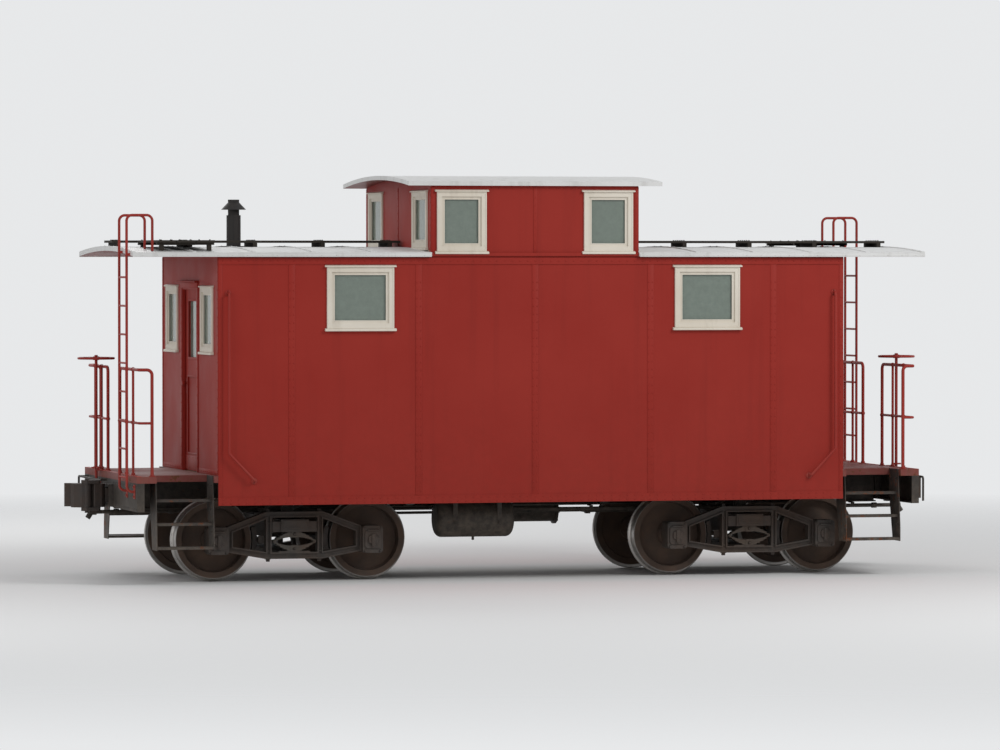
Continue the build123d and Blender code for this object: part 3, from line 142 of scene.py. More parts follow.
def slab(name: str, low: tuple, high: tuple, edge: float = 0.0) -> Piece:
    """Model a block between two corners.

    Args:
        name: the piece's name.
        low: one corner.
        high: the other corner.
        edge: width of its rounded edges.

    Returns:
        The block.
    """
    start = Vector(map(min, low, high))
    stop = Vector(map(max, low, high))
    clear()
    bpy.ops.mesh.primitive_cube_add(size=1.0, location=(start + stop) / 2)
    piece = bpy.context.object
    piece.name = name
    piece.scale = stop - start
    settle(piece)
    return soften(piece, edge) if edge else piece


def rod(name: str, start: tuple, end: tuple, radius: float, sides: int = 12, edge: float = 0.0) -> Piece:
    """Model a round bar between two points.

    Args:
        name: the piece's name.
        start: middle of its first end.
        end: middle of its other end.
        radius: its radius.
        sides: facets round it.
        edge: width of its rounded ends.

    Returns:
        The bar.
    """
    start, end = Vector(start), Vector(end)
    turn = (end - start).to_track_quat("Z", "Y").to_euler()
    clear()
    bpy.ops.mesh.primitive_cylinder_add(
        vertices=sides, radius=radius, depth=(end - start).length, location=(start + end) / 2, rotation=turn
    )
    piece = bpy.context.object
    piece.name = name
    settle(piece)
    return soften(piece, edge) if edge else piece


def duplicate(piece: Piece, shift: Matrix | None = None) -> Piece:
    """Copy a piece with a mesh of its own.

    Args:
        piece: the piece to copy.
        shift: what moves the copy's mesh.

    Returns:
        The copy.
    """
    pick(piece)
    bpy.ops.object.duplicate(linked=False)
    copy = bpy.context.object
    if shift is not None:
        copy.data.transform(shift)
        copy.data.update()
    return copy


def row(piece: Piece, step: tuple, count: int) -> Piece:
    """Repeat a piece's mesh along a straight line.

    Args:
        piece: the piece to repeat.
        step: from one copy to the next.
        count: how many there are in the end.

    Returns:
        The same piece, now a whole row.
    """
    pick(piece)
    array = piece.modifiers.new("row", "ARRAY")
    array.count = count
    array.use_relative_offset = False
    array.use_constant_offset = True
    array.constant_offset_displace = step
    bpy.ops.object.modifier_apply(modifier="row")
    return piece


def join(name: str, pieces: list[Piece]) -> Piece:
    """Join pieces into one.

    Args:
        name: the joined piece's name.
        pieces: what is joined.

    Returns:
        The joined piece.
    """
    pick(*pieces)
    if len(pieces) > 1:
        bpy.ops.object.join()
    piece = bpy.context.object
    piece.name = name
    piece.data.name = name
    return piece


def both_ends(piece: Piece) -> list[Piece]:
    """A piece of the right end, and its copy turned half round to the left end.

    Args:
        piece: the piece at the right end.

    Returns:
        Both pieces.
    """
    return [piece, duplicate(piece, Matrix.Rotation(math.pi, 4, "Z"))]


def both_sides(piece: Piece) -> list[Piece]:
    """A piece of one side, and its mirrored copy on the other side.

    Args:
        piece: the piece at one side.

    Returns:
        Both pieces, their faces outward.
    """
    copy = duplicate(piece, Matrix.Scale(-1, 4, (0, 1, 0)))
    copy.data.flip_normals()
    return [piece, copy]


@contextmanager
def editing(piece: Piece, test: Callable[[Vector, Vector], bool]) -> Iterator[None]:
    """Edit the faces of a piece that a test picks.

    Args:
        piece: the piece to edit.
        test: given a face's middle and normal, whether it is picked.
    """
    pick(piece)
    bpy.ops.object.mode_set(mode="EDIT")
    bpy.ops.mesh.select_mode(type="FACE")
    bpy.ops.mesh.select_all(action="DESELECT")
    bpy.ops.object.mode_set(mode="OBJECT")
    for face in piece.data.polygons:
        face.select = test(face.center, face.normal)
    bpy.ops.object.mode_set(mode="EDIT")
    yield
    bpy.ops.object.mode_set(mode="OBJECT")


def facing(way: tuple, least: float = 0.9) -> Callable[[Vector, Vector], bool]:
    """Test that picks the faces that look one way.

    Args:
        way: unit direction.
        least: cosine of the widest angle from it.

    Returns:
        The test.
    """
    way = Vector(way)
    return lambda _, normal: normal.dot(way) > least


def sink(piece: Piece, way: tuple, rim: float, slope: float, depth: float) -> Piece:
    """Recess a panel in the faces of a piece that look one way.

    Args:
        piece: the piece to work.
        way: unit direction of the faces.
        rim: width of the rim left round the panel.
        slope: width of the panel's sloping edge.
        depth: how deep the panel lies, negative where it stands out.

    Returns:
        The same piece.
    """
    with editing(piece, facing(way, 0.99)):
        bpy.ops.mesh.inset(thickness=rim, depth=0.0)
        bpy.ops.mesh.inset(thickness=slope, depth=-depth)
    return piece


def ring(name: str, width: float, height: float, rim: float, depth: float) -> Piece:
    """Model a four-sided ring that stands out of the wall plane Y = 0 toward -Y.

    Args:
        name: the piece's name.
        width: its outer size along X.
        height: its outer size along Z.
        rim: width of its four members.
        depth: how far it stands out.

    Returns:
        The ring, about the origin.
    """
    clear()
    bpy.ops.mesh.primitive_plane_add(size=1.0, rotation=(math.pi / 2, 0, 0))
    piece = bpy.context.object
    piece.name = name
    piece.scale = (width, height, 1.0)
    settle(piece)
    with editing(piece, lambda *_: True):
        bpy.ops.mesh.inset(thickness=rim, depth=0.0)
        bpy.ops.mesh.delete(type="FACE")
    pick(piece)
    solid = piece.modifiers.new("solid", "SOLIDIFY")
    solid.thickness = depth
    solid.offset = 1.0
    bpy.ops.object.modifier_apply(modifier="solid")
    with editing(piece, lambda *_: True):
        bpy.ops.mesh.normals_make_consistent(inside=False)
    return piece


def ball(place: tuple, radius: float, segments: int, rings: int) -> Piece:
    """Model a ball.

    Args:
        place: its middle.
        radius: its radius.
        segments: facets round it.
        rings: facets from pole to pole.

    Returns:
        The ball.
    """
    clear()
    bpy.ops.mesh.primitive_uv_sphere_add(
        segments=segments, ring_count=rings, radius=radius, location=place
    )
    return settle(bpy.context.object)


def turned(piece: Piece, place: tuple, out: tuple) -> Piece:
    """Turn a piece modelled about the Z axis to look another way, and move it to its place.

    Args:
        piece: the piece, about the origin.
        place: where its origin goes.
        out: direction that its Z axis takes.

    Returns:
        The same piece.
    """
    piece.rotation_euler = Vector(out).to_track_quat("Z", "Y").to_euler()
    piece.location = place
    return settle(piece)


class Head(Enum):
    """Kinds of fastening."""

    RIVET = "rivet"
    BOLT = "bolt"


def head(kind: Head, place: tuple, out: tuple, radius: float) -> Piece:
    """Model a rivet's dome, or a bolt's six-sided head on its washer.

    Args:
        kind: which of the two.
        place: point of the face that it stands on.
        out: direction that it stands out in.
        radius: its radius.

    Returns:
        The head.
    """
    clear()
    if kind is Head.RIVET:
        piece = ball((0, 0, 0), radius, segments=8, rings=4)
        piece.scale = (1.0, 1.0, 0.6)
        settle(piece)
        with editing(piece, lambda *_: True):
            bpy.ops.mesh.bisect(plane_co=(0, 0, 0), plane_no=(0, 0, 1), use_fill=True, clear_inner=True)
    else:
        bpy.ops.mesh.primitive_cylinder_add(
            vertices=6, radius=radius, depth=radius, location=(0, 0, radius / 2)
        )
        piece = settle(bpy.context.object)
        with editing(piece, facing((0, 0, 1))):
            bpy.ops.mesh.inset(thickness=radius * 0.16, depth=radius * 0.12)
        with editing(piece, facing((0, 0, -1))):
            bpy.ops.mesh.inset(thickness=0.0, depth=0.0)
            bpy.ops.transform.resize(value=(1.3, 1.3, 1.0))
    piece.name = kind.value
    return turned(piece, place, out)


def grid(piece: Piece, *steps: tuple[tuple, int]) -> Piece:
    """Repeat a piece along several directions in turn.

    Args:
        piece: the piece to repeat.
        steps: for each direction, the step from one copy to the next and how many there are.

    Returns:
        The same piece, now the whole pattern.
    """
    for step, count in steps:
        if count > 1:
            row(piece, step, count)
    return piece


def studs(
    kind: Head, place: tuple, out: tuple, radius: float, *steps: tuple[tuple, int]
) -> Piece:
    """Model a fastening and repeat it in rows.

    Args:
        kind: which fastening.
        place: point of the face that the first one stands on.
        out: direction that they stand out in.
        radius: their radius.
        steps: for each direction, the step from one to the next and how many there are.

    Returns:
        The rows, as one piece.
    """
    return grid(head(kind, place, out, radius), *steps)


def scatter(name: str, piece: Piece, places: list[Matrix]) -> Piece:
    """Copy a piece to several places and join the copies.

    Args:
        name: name of the joined piece.
        piece: the pattern, which is used up.
        places: where each copy goes.

    Returns:
        The joined piece.
    """
    copies = [duplicate(piece, place) for place in places]
    bpy.data.objects.remove(piece)
    return join(name, copies)


# Node groups


class Sheet:
    """A node tree being laid out."""

    def __init__(self, tree: bpy.types.NodeTree) -> None:
        """Start from an empty tree.

        Args:
            tree: the tree to fill.
        """
        self.tree = tree
        tree.nodes.clear()

    def add(self, kind: str, inputs: dict | None = None, **settings: object) -> bpy.types.Node:
        """Add a node.

        Args:
            kind: the node's type, without its ShaderNode prefix where it has one.
            inputs: input name or number to a value, or to the socket that feeds it.
            settings: the node's own properties.

        Returns:
            The node.
        """
        prefix = "" if kind.startswith("NodeGroup") else "ShaderNode"
        node = self.tree.nodes.new(prefix + kind)
        for key, value in settings.items():
            setattr(node, key, value)
        self.feed(node, inputs or {})
        return node

    def feed(self, node: bpy.types.Node, inputs: dict) -> None:
        """Set or link a node's inputs.

        Args:
            node: the node.
            inputs: input name or number to a value, or to the socket that feeds it.
        """
        for key, value in inputs.items():
            if isinstance(value, Socket):
                self.tree.links.new(value, node.inputs[key])
            else:
                node.inputs[key].default_value = value

    def math(self, operation: str, *values: object, clamp: bool = False) -> Socket:
        """Add a maths node.

        Args:
            operation: its operation.
            values: its inputs, numbers or sockets.
            clamp: keep the result from 0 to 1.

        Returns:
            Its result.
        """
        node = self.add("Math", dict(enumerate(values)), operation=operation, use_clamp=clamp)
        return node.outputs[0]

    def mix(self, share: object, first: object, second: object, blend: str = "MIX") -> Socket:
        """Add a colour mix.

        Args:
            share: how much of the second colour shows.
            first: first colour or socket.
            second: second colour or socket.
            blend: how the two are mixed.

        Returns:
            The mixed colour.
        """
        node = self.add("Mix", data_type="RGBA", blend_type=blend)
        colours = (value if isinstance(value, Socket) else (*value, 1.0) for value in (first, second))
        self.feed(node, dict(zip((0, 6, 7), (share, *colours))))
        return node.outputs[2]

    def ramp(self, value: Socket, low: float, high: float) -> Socket:
        """Stretch a value to run from 0 at low to 1 at high.

        Args:
            value: the value to stretch.
            low: where the result is 0.
            high: where the result is 1.

        Returns:
            The stretched value.
        """
        node = self.add("MapRange", {0: value, 1: low, 2: high, 3: 0.0, 4: 1.0}, clamp=True)
        return node.outputs[0]

    def span(self, share: Socket, first: float, second: float) -> Socket:
        """Go from one number to another.

        Args:
            share: how far, from 0 to 1.
            first: the result at 0.
            second: the result at 1.

        Returns:
            The number.
        """
        return self.add("MapRange", {0: share, 3: first, 4: second}).outputs[0]

    def noise(self, place: Socket, scale: object, detail: float = 3.0, rough: float = 0.55) -> Socket:
        """Add a noise texture.

        Args:
            place: coordinates.
            scale: its scale, a number or socket.
            detail: octaves.
            rough: how strong the finer octaves are.

        Returns:
            Its value.
        """
        node = self.add("TexNoise", {"Vector": place, "Scale": scale, "Detail": detail, "Roughness": rough})
        return node.outputs[0]

    def stretched(self, place: Socket, scale: Colour) -> Socket:
        """Scale coordinates by a different share on each axis.

        Args:
            place: coordinates.
            scale: the three scales.

        Returns:
            The scaled coordinates.
        """
        return self.add("Mapping", {"Vector": place, "Scale": scale}).outputs[0]

    def place(self) -> Socket:
        """Object coordinates."""
        return self.add("TexCoord").outputs["Object"]

    def height(self, value: Socket) -> Socket:
        """The upright coordinate of a place."""
        return self.add("SeparateXYZ", {0: value}).outputs[2]


def group(
    name: str, inputs: dict[str, float], outputs: dict[str, str]
) -> tuple[Sheet, bpy.types.Node, bpy.types.Node]:
    """Start a shader node group.

    Args:
        name: the group's name.
        inputs: name of each number that the group takes, to its first value.
        outputs: name of each result to its socket type.

    Returns:
        The group's sheet, its input node and its output node.
    """
    tree = bpy.data.node_groups.new(name, "ShaderNodeTree")
    for label, value in inputs.items():
        socket = tree.interface.new_socket(name=label, in_out="INPUT", socket_type="NodeSocketFloat")
        socket.default_value = value
    for label, kind in outputs.items():
        tree.interface.new_socket(name=label, in_out="OUTPUT", socket_type=kind)
    sheet = Sheet(tree)
    return sheet, sheet.add("NodeGroupInput"), sheet.add("NodeGroupOutput")


def weather_group() -> bpy.types.NodeTree:
    """Blotches, rain streaks and road dust, as masks.

    Returns:
        The node group.
    """
    sheet, given, out = group(
        "weather",
        {"Scale": 1.0, "Dust Top": 1.0, "Dust Depth": 0.6},
        {"Blotch": "NodeSocketFloat", "Streak": "NodeSocketFloat", "Dust": "NodeSocketFloat"},
    )
    place = sheet.place()
    broad = sheet.noise(place, given.outputs["Scale"], 5.0, 0.6)
    runs = sheet.noise(sheet.stretched(place, (9.0, 9.0, 0.35)), given.outputs["Scale"], 4.0, 0.7)
    down = sheet.math("SUBTRACT", given.outputs["Dust Top"], sheet.height(place))
    depth = sheet.math("DIVIDE", down, given.outputs["Dust Depth"], clamp=True)
    specks = sheet.noise(place, 14.0, 6.0, 0.7)
    dust = sheet.math("MULTIPLY", depth, sheet.ramp(specks, 0.25, 0.7), clamp=True)
    links = sheet.tree.links
    links.new(sheet.ramp(broad, 0.35, 0.7), out.inputs["Blotch"])
    links.new(sheet.ramp(runs, 0.52, 0.72), out.inputs["Streak"])
    links.new(dust, out.inputs["Dust"])
    return sheet.tree


def chips_group() -> bpy.types.NodeTree:
    """Small chips and rust spots, as a mask and a height.

    Returns:
        The node group.
    """
    sheet, given, out = group(
        "chips", {"Scale": 20.0, "Amount": 0.3}, {"Mask": "NodeSocketFloat", "Height": "NodeSocketFloat"}
    )
    place = sheet.place()
    spots = sheet.noise(place, given.outputs["Scale"], 8.0, 0.72)
    where = sheet.noise(place, 1.7, 2.0, 0.5)
    limit = sheet.math("SUBTRACT", 0.84, sheet.math("MULTIPLY", given.outputs["Amount"], where))
    over = sheet.math("SUBTRACT", spots, limit)
    mask = sheet.math("MULTIPLY", over, 22.0, clamp=True)
    sheet.tree.links.new(mask, out.inputs["Mask"])
    sheet.tree.links.new(sheet.math("MULTIPLY", mask, -1.0), out.inputs["Height"])
    return sheet.tree


def boards_group() -> bpy.types.NodeTree:
    """Grooves between boards of one width, and a tone for each board.

    Returns:
        The node group.
    """
    sheet, given, out = group(
        "boards",
        {"Width": 0.09, "Along X": 1.0, "Along Y": 0.0},
        {"Groove": "NodeSocketFloat", "Tone": "NodeSocketFloat"},
    )
    axes = sheet.add("SeparateXYZ", {0: sheet.place()})
    across = sheet.math(
        "ADD",
        sheet.math("MULTIPLY", axes.outputs[0], given.outputs["Along X"]),
        sheet.math("MULTIPLY", axes.outputs[1], given.outputs["Along Y"]),
    )
    count = sheet.math("DIVIDE", across, given.outputs["Width"])
    share = sheet.math("FRACT", count)
    edge = sheet.math("ABSOLUTE", sheet.math("SUBTRACT", share, 0.5))
    tone = sheet.add("TexWhiteNoise", {"W": sheet.math("FLOOR", count)}, noise_dimensions="1D")
    sheet.tree.links.new(sheet.ramp(edge, 0.5, 0.455), out.inputs["Groove"])
    sheet.tree.links.new(tone.outputs["Value"], out.inputs["Tone"])
    return sheet.tree


def grain_group() -> bpy.types.NodeTree:
    """Grain of sawn wood that runs along one axis.

    Returns:
        The node group.
    """
    sheet, given, out = group(
        "grain", {"Along X": 1.0, "Along Y": 12.0, "Along Z": 12.0}, {"Grain": "NodeSocketFloat"}
    )
    scale = sheet.add(
        "CombineXYZ",
        {0: given.outputs["Along X"], 1: given.outputs["Along Y"], 2: given.outputs["Along Z"]},
    )
    place = sheet.add("VectorMath", {0: sheet.place(), 1: scale.outputs[0]}, operation="MULTIPLY")
    figure = sheet.noise(place.outputs[0], 2.2, 6.0, 0.65)
    pores = sheet.noise(place.outputs[0], 19.0, 3.0, 0.6)
    both = sheet.math("ADD", sheet.math("MULTIPLY", figure, 0.7), sheet.math("MULTIPLY", pores, 0.3))
    sheet.tree.links.new(sheet.ramp(both, 0.33, 0.68), out.inputs["Grain"])
    return sheet.tree


def casting_group() -> bpy.types.NodeTree:
    """Sand-cast or scaly skin, as a height and a mask of its pits.

    Returns:
        The node group.
    """
    sheet, given, out = group(
        "casting", {"Scale": 40.0}, {"Height": "NodeSocketFloat", "Pits": "NodeSocketFloat"}
    )
    place = sheet.place()
    sand = sheet.noise(place, given.outputs["Scale"], 6.0, 0.7)
    waves = sheet.noise(place, 6.0, 3.0, 0.5)
    height = sheet.math("ADD", sheet.math("MULTIPLY", sand, 0.6), waves)
    sheet.tree.links.new(height, out.inputs["Height"])
    sheet.tree.links.new(sheet.ramp(sand, 0.42, 0.3), out.inputs["Pits"])
    return sheet.tree


def indoors_group() -> bpy.types.NodeTree:
    """Whether a point is on the lining of the cabin or cupola, from 0 to 1.

    Returns:
        The node group.
    """
    cabin_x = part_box("side_wall_near")[1].x - 0.068
    cabin_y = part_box("end_wall_right")[1].y + 0.002
    cupola_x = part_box("cupola_ends")[1].x - 0.079
    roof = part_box("roof_left")[0].z + 0.065
    sheet, given, out = group(
        "indoors", {"Cabin X": cabin_x, "Cabin Y": cabin_y, "Cupola X": cupola_x, "Roof": roof},
        {"Inside": "NodeSocketFloat"},
    )
    axes = sheet.add("SeparateXYZ", {0: sheet.place()})
    along = sheet.math("ABSOLUTE", axes.outputs[0])
    above = sheet.math("GREATER_THAN", axes.outputs[2], given.outputs["Roof"])
    limit = sheet.add(
        "Mix", {0: above, 2: given.outputs["Cabin X"], 3: given.outputs["Cupola X"]}, data_type="FLOAT"
    )
    long_way = sheet.math("LESS_THAN", along, limit.outputs[0])
    cross_way = sheet.math("LESS_THAN", sheet.math("ABSOLUTE", axes.outputs[1]), given.outputs["Cabin Y"])
    sheet.tree.links.new(sheet.math("MULTIPLY", long_way, cross_way), out.inputs["Inside"])
    return sheet.tree


class Effect(Enum):
    """The shared surface effects."""

    WEATHER = "weather"
    CHIPS = "chips"
    BOARDS = "boards"
    GRAIN = "grain"
    CASTING = "casting"
    INDOORS = "indoors"


MAKERS = {
    Effect.WEATHER: weather_group,
    Effect.CHIPS: chips_group,
    Effect.BOARDS: boards_group,
    Effect.GRAIN: grain_group,
    Effect.CASTING: casting_group,
    Effect.INDOORS: indoors_group,
}


def use(sheet: Sheet, effect: Effect, **values: float) -> bpy.types.Node:
    """Place a shared effect in a material.

    Args:
        sheet: the material's sheet.
        effect: the effect.
        values: its inputs, with underscores for the spaces in their names.

    Returns:
        The group's node.
    """
    tree = bpy.data.node_groups.get(effect.value) or MAKERS[effect]()
    node = sheet.add("Group", node_tree=tree)
    for key, value in values.items():
        node.inputs[key.replace("_", " ")].default_value = value
    return node


def surface(name: str) -> tuple[bpy.types.Material, Sheet, bpy.types.Node]:
    """Start a material.

    Args:
        name: its name.

    Returns:
        The material, its sheet and its main shader.
    """
    material = bpy.data.materials.new(name)
    material.use_nodes = True
    sheet = Sheet(material.node_tree)
    shader = sheet.add("BsdfPrincipled")
    sheet.add("OutputMaterial", {0: shader.outputs[0]})
    return material, sheet, shader


def relief(
    sheet: Sheet, shader: bpy.types.Node, height: Socket, strength: float, depth: float
) -> None:
    """Feed a height to a shader's normal.

    Args:
        sheet: the material's sheet.
        shader: its main shader.
        height: the height.
        strength: how strong the relief is.
        depth: how deep it is.
    """
    bump = sheet.add("Bump", {"Height": height, "Strength": strength, "Distance": depth})
    sheet.tree.links.new(bump.outputs[0], shader.inputs["Normal"])


# Finishes


@dataclass(frozen=True)
class Paint:
    """Enamel on steel, faded, streaked, dusted and chipped."""

    name: str
    colour: Colour
    faded: Colour
    grime: Colour
    # colour laid in specks lower down: a dust colour on most paints, a darker red on the body's
    dust: Colour = (0.21, 0.17, 0.13)
    rust: Colour = (0.12, 0.042, 0.018)
    gloss: float = 0.42
    dull: float = 0.72
    streaks: float = 0.35
    dust_top: float = 1.35
    dust_depth: float = 0.9
    dust_share: float = 0.45
    chips: float = 0.28
    chip_scale: float = 16.0
    lined: bool = False
    underside: Colour | None = None
    tread_plate: bool = False
    sheen: float = 0.3

    def make(self) -> bpy.types.Material:
        """Build the material.

        Returns:
            The material.
        """
        material, sheet, shader = surface(self.name)
        weather = use(sheet, Effect.WEATHER, Scale=0.9, Dust_Top=self.dust_top, Dust_Depth=self.dust_depth)
        chips = use(sheet, Effect.CHIPS, Scale=self.chip_scale, Amount=self.chips)
        streak = sheet.math("MULTIPLY", weather.outputs["Streak"], self.streaks)
        dust = sheet.math("MULTIPLY", weather.outputs["Dust"], self.dust_share)
        tone = sheet.mix(weather.outputs["Blotch"], self.colour, self.faded)
        tone = sheet.mix(streak, tone, self.grime)
        tone = sheet.mix(dust, tone, self.dust)
        tone = sheet.mix(chips.outputs["Mask"], tone, self.rust)
        rough = sheet.span(weather.outputs["Blotch"], self.gloss, self.dull)
        rough = sheet.math("MAXIMUM", rough, sheet.math("MULTIPLY", chips.outputs["Mask"], 0.85))
        place = sheet.place()
        waves = sheet.noise(place, 1.6, 2.0, 0.4)
        peel = sheet.math("MULTIPLY", sheet.noise(place, 160.0, 2.0, 0.5), 0.012)
        height = sheet.math("ADD", waves, peel)
        height = sheet.math("ADD", height, sheet.math("MULTIPLY", chips.outputs["Height"], 0.03))
        if self.tread_plate:
            height = sheet.math("ADD", height, self.lozenges(sheet))
        if self.underside is not None:
            normal = sheet.add("TexCoord").outputs["Normal"]
            below = sheet.math("LESS_THAN", sheet.height(normal), -0.4)
            tone = sheet.mix(below, tone, self.underside)
            inside = use(sheet, Effect.INDOORS).outputs["Inside"]
            tone = sheet.mix(sheet.math("MULTIPLY", below, inside), tone, CREAM)
        if self.lined:
            tone, rough, height = self.lining(sheet, tone, rough, height)
        sheet.feed(shader, {"Base Color": tone, "Roughness": rough, "Specular IOR Level": self.sheen})
        relief(sheet, shader, height, 0.55, 0.012)
        return material

    def lozenges(self, sheet: Sheet) -> Socket:
        """Raised pattern of a safety plate, seen on top faces.

        Args:
            sheet: the material's sheet.

        Returns:
            Its height.
        """
        axes = sheet.add("SeparateXYZ", {0: sheet.place()})
        total = sheet.math("ADD", axes.outputs[0], axes.outputs[1])
        apart = sheet.math("SUBTRACT", axes.outputs[0], axes.outputs[1])
        waves = [
            sheet.math("ABSOLUTE", sheet.math("SINE", sheet.math("MULTIPLY", value, 62.0)))
            for value in (total, apart)
        ]
        ridge = sheet.math("MULTIPLY", sheet.ramp(waves[0], 0.75, 0.95), sheet.ramp(waves[1], 0.2, 0.6))
        above = sheet.math("GREATER_THAN", sheet.height(sheet.add("TexCoord").outputs["Normal"]), 0.5)
        return sheet.math("MULTIPLY", sheet.math("MULTIPLY", ridge, above), 0.22)

    def lining(self, sheet: Sheet, tone: Socket, rough: Socket, height: Socket) -> tuple[Socket, ...]:
        """Boards of the cabin's lining on the faces that are indoors.

        Args:
            sheet: the material's sheet.
            tone: colour outdoors.
            rough: roughness outdoors.
            height: relief outdoors.

        Returns:
            Colour, roughness and relief everywhere.
        """
        inside = use(sheet, Effect.INDOORS).outputs["Inside"]
        boards = use(sheet, Effect.BOARDS, Width=0.085, Along_X=1.0, Along_Y=1.0)
        cream = sheet.mix(boards.outputs["Tone"], (0.36, 0.33, 0.23), CREAM)
        cream = sheet.mix(boards.outputs["Groove"], (0.12, 0.10, 0.07), cream)
        tone = sheet.mix(inside, tone, cream)
        grooves = sheet.math("MULTIPLY", boards.outputs["Groove"], 0.3)
        levels = sheet.add("Mix", {0: inside, 2: height, 3: grooves}, data_type="FLOAT").outputs[0]
        level = sheet.add("Mix", {0: inside, 2: rough, 3: 0.5}, data_type="FLOAT").outputs[0]
        return tone, level, levels


@dataclass(frozen=True)
class Casting:
    """Cast or forged steel under grime, with rust in its pits."""

    name: str
    colour: Colour
    rust: Colour
    dust: Colour = (0.16, 0.135, 0.11)
    rust_share: float = 0.55
    dust_share: float = 0.4
    scale: float = 34.0
    rough: float = 0.78
    metal: float = 0.25

    def make(self) -> bpy.types.Material:
        """Build the material.

        Returns:
            The material.
        """
        material, sheet, shader = surface(self.name)
        skin = use(sheet, Effect.CASTING, Scale=self.scale)
        weather = use(sheet, Effect.WEATHER, Scale=2.6, Dust_Top=1.0, Dust_Depth=1.1)
        rusty = sheet.math("MULTIPLY", weather.outputs["Blotch"], self.rust_share)
        tone = sheet.mix(rusty, self.colour, self.rust)
        tone = sheet.mix(sheet.math("MULTIPLY", skin.outputs["Pits"], 0.5), tone, self.rust)
        tone = sheet.mix(sheet.math("MULTIPLY", weather.outputs["Dust"], self.dust_share), tone, self.dust)
        rough = sheet.span(rusty, self.rough - 0.2, self.rough + 0.12)
        sheet.feed(shader, {"Base Color": tone, "Roughness": rough, "Metallic": self.metal})
        relief(sheet, shader, skin.outputs["Height"], 0.5, 0.006)
        return material


@dataclass(frozen=True)
class WheelSteel:
    """Rolled steel: bright where the rail wears the tread, brown elsewhere."""

    name: str
    bright: Colour = (0.42, 0.40, 0.38)
    brown: Colour = (0.055, 0.036, 0.026)

    def make(self) -> bpy.types.Material:
        """Build the material.

        Returns:
            The material.
        """
        material, sheet, shader = surface(self.name)
        skin = use(sheet, Effect.CASTING, Scale=30.0)
        worn = sheet.ramp(self.radius(sheet), WHEEL_TREAD - 0.016, WHEEL_TREAD - 0.006)
        weather = use(sheet, Effect.WEATHER, Scale=5.0, Dust_Top=1.0, Dust_Depth=1.2)
        brown = sheet.mix(weather.outputs["Blotch"], self.brown, (0.085, 0.05, 0.032))
        tone = sheet.mix(worn, brown, self.bright)
        tone = sheet.mix(sheet.math("MULTIPLY", skin.outputs["Pits"], 0.4), tone, self.brown)
        metal = sheet.math("MULTIPLY", worn, 0.9)
        rough = sheet.span(worn, 0.82, 0.33)
        sheet.feed(shader, {"Base Color": tone, "Roughness": rough, "Metallic": metal})
        relief(sheet, shader, skin.outputs["Height"], 0.35, 0.004)
        return material

    def radius(self, sheet: Sheet) -> Socket:
        """Distance of a point from its own axle, for four axles set evenly about the middle.

        Args:
            sheet: the material's sheet.

        Returns:
            The distance.
        """
        inner = middle(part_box("wheelset_right_1"))
        outer = middle(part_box("wheelset_right_2"))
        axes = sheet.add("SeparateXYZ", {0: sheet.place()})
        along = sheet.math("ABSOLUTE", axes.outputs[0])
        along = sheet.math("SUBTRACT", along, (inner.x + outer.x) / 2)
        along = sheet.math("SUBTRACT", sheet.math("ABSOLUTE", along), (outer.x - inner.x) / 2)
        above = sheet.math("SUBTRACT", axes.outputs[2], inner.z)
        square = sheet.math("ADD", sheet.math("POWER", along, 2.0), sheet.math("POWER", above, 2.0))
        return sheet.math("SQRT", square)


@dataclass(frozen=True)
class Wood:
    """Sawn or varnished boards."""

    name: str
    pale: Colour
    dark: Colour
    along: Colour
    board: float
    board_x: float
    board_y: float
    rough: float = 0.6
    worn: Colour | None = None

    def make(self) -> bpy.types.Material:
        """Build the material.

        Returns:
            The material.
        """
        material, sheet, shader = surface(self.name)
        x, y, z = self.along
        grain = use(sheet, Effect.GRAIN, Along_X=x, Along_Y=y, Along_Z=z)
        boards = use(sheet, Effect.BOARDS, Width=self.board, Along_X=self.board_x, Along_Y=self.board_y)
        weather = use(sheet, Effect.WEATHER, Scale=1.8, Dust_Top=0.0)
        tone = sheet.mix(grain.outputs["Grain"], self.dark, self.pale)
        shade = sheet.math("MULTIPLY", boards.outputs["Tone"], 0.35)
        tone = sheet.mix(shade, tone, self.dark)
        if self.worn is not None:
            tone = sheet.mix(sheet.math("MULTIPLY", weather.outputs["Blotch"], 0.6), tone, self.worn)
        tone = sheet.mix(boards.outputs["Groove"], (0.02, 0.015, 0.01), tone)
        height = sheet.math("MULTIPLY", grain.outputs["Grain"], 0.25)
        height = sheet.math("ADD", height, boards.outputs["Groove"])
        sheet.feed(shader, {"Base Color": tone, "Roughness": self.rough})
        relief(sheet, shader, height, 0.5, 0.003)
        return material


@dataclass(frozen=True)
class Pane:
    """Window glass with a milky grey-green base colour, paler lower down where dust lies."""

    name: str
    milky_tint: Colour
    clear: float = 0.55

    def make(self) -> bpy.types.Material:
        """Build the material.

        Returns:
            The material.
        """
        material, sheet, shader = surface(self.name)
        weather = use(sheet, Effect.WEATHER, Scale=2.0, Dust_Top=9.0, Dust_Depth=7.0)
        pale = tuple(min(1.0, value * 1.35) for value in self.milky_tint)
        # flat grey-green diffuse colour on the glass, paler where the dust mask is strong
        tone = sheet.mix(weather.outputs["Dust"], self.milky_tint, pale)
        rough = sheet.span(weather.outputs["Dust"], 0.04, 0.16)
        sheet.feed(shader, {"Base Color": tone, "Roughness": rough})
        sheet.feed(shader, {"Transmission Weight": self.clear, "IOR": 1.45})
        return material


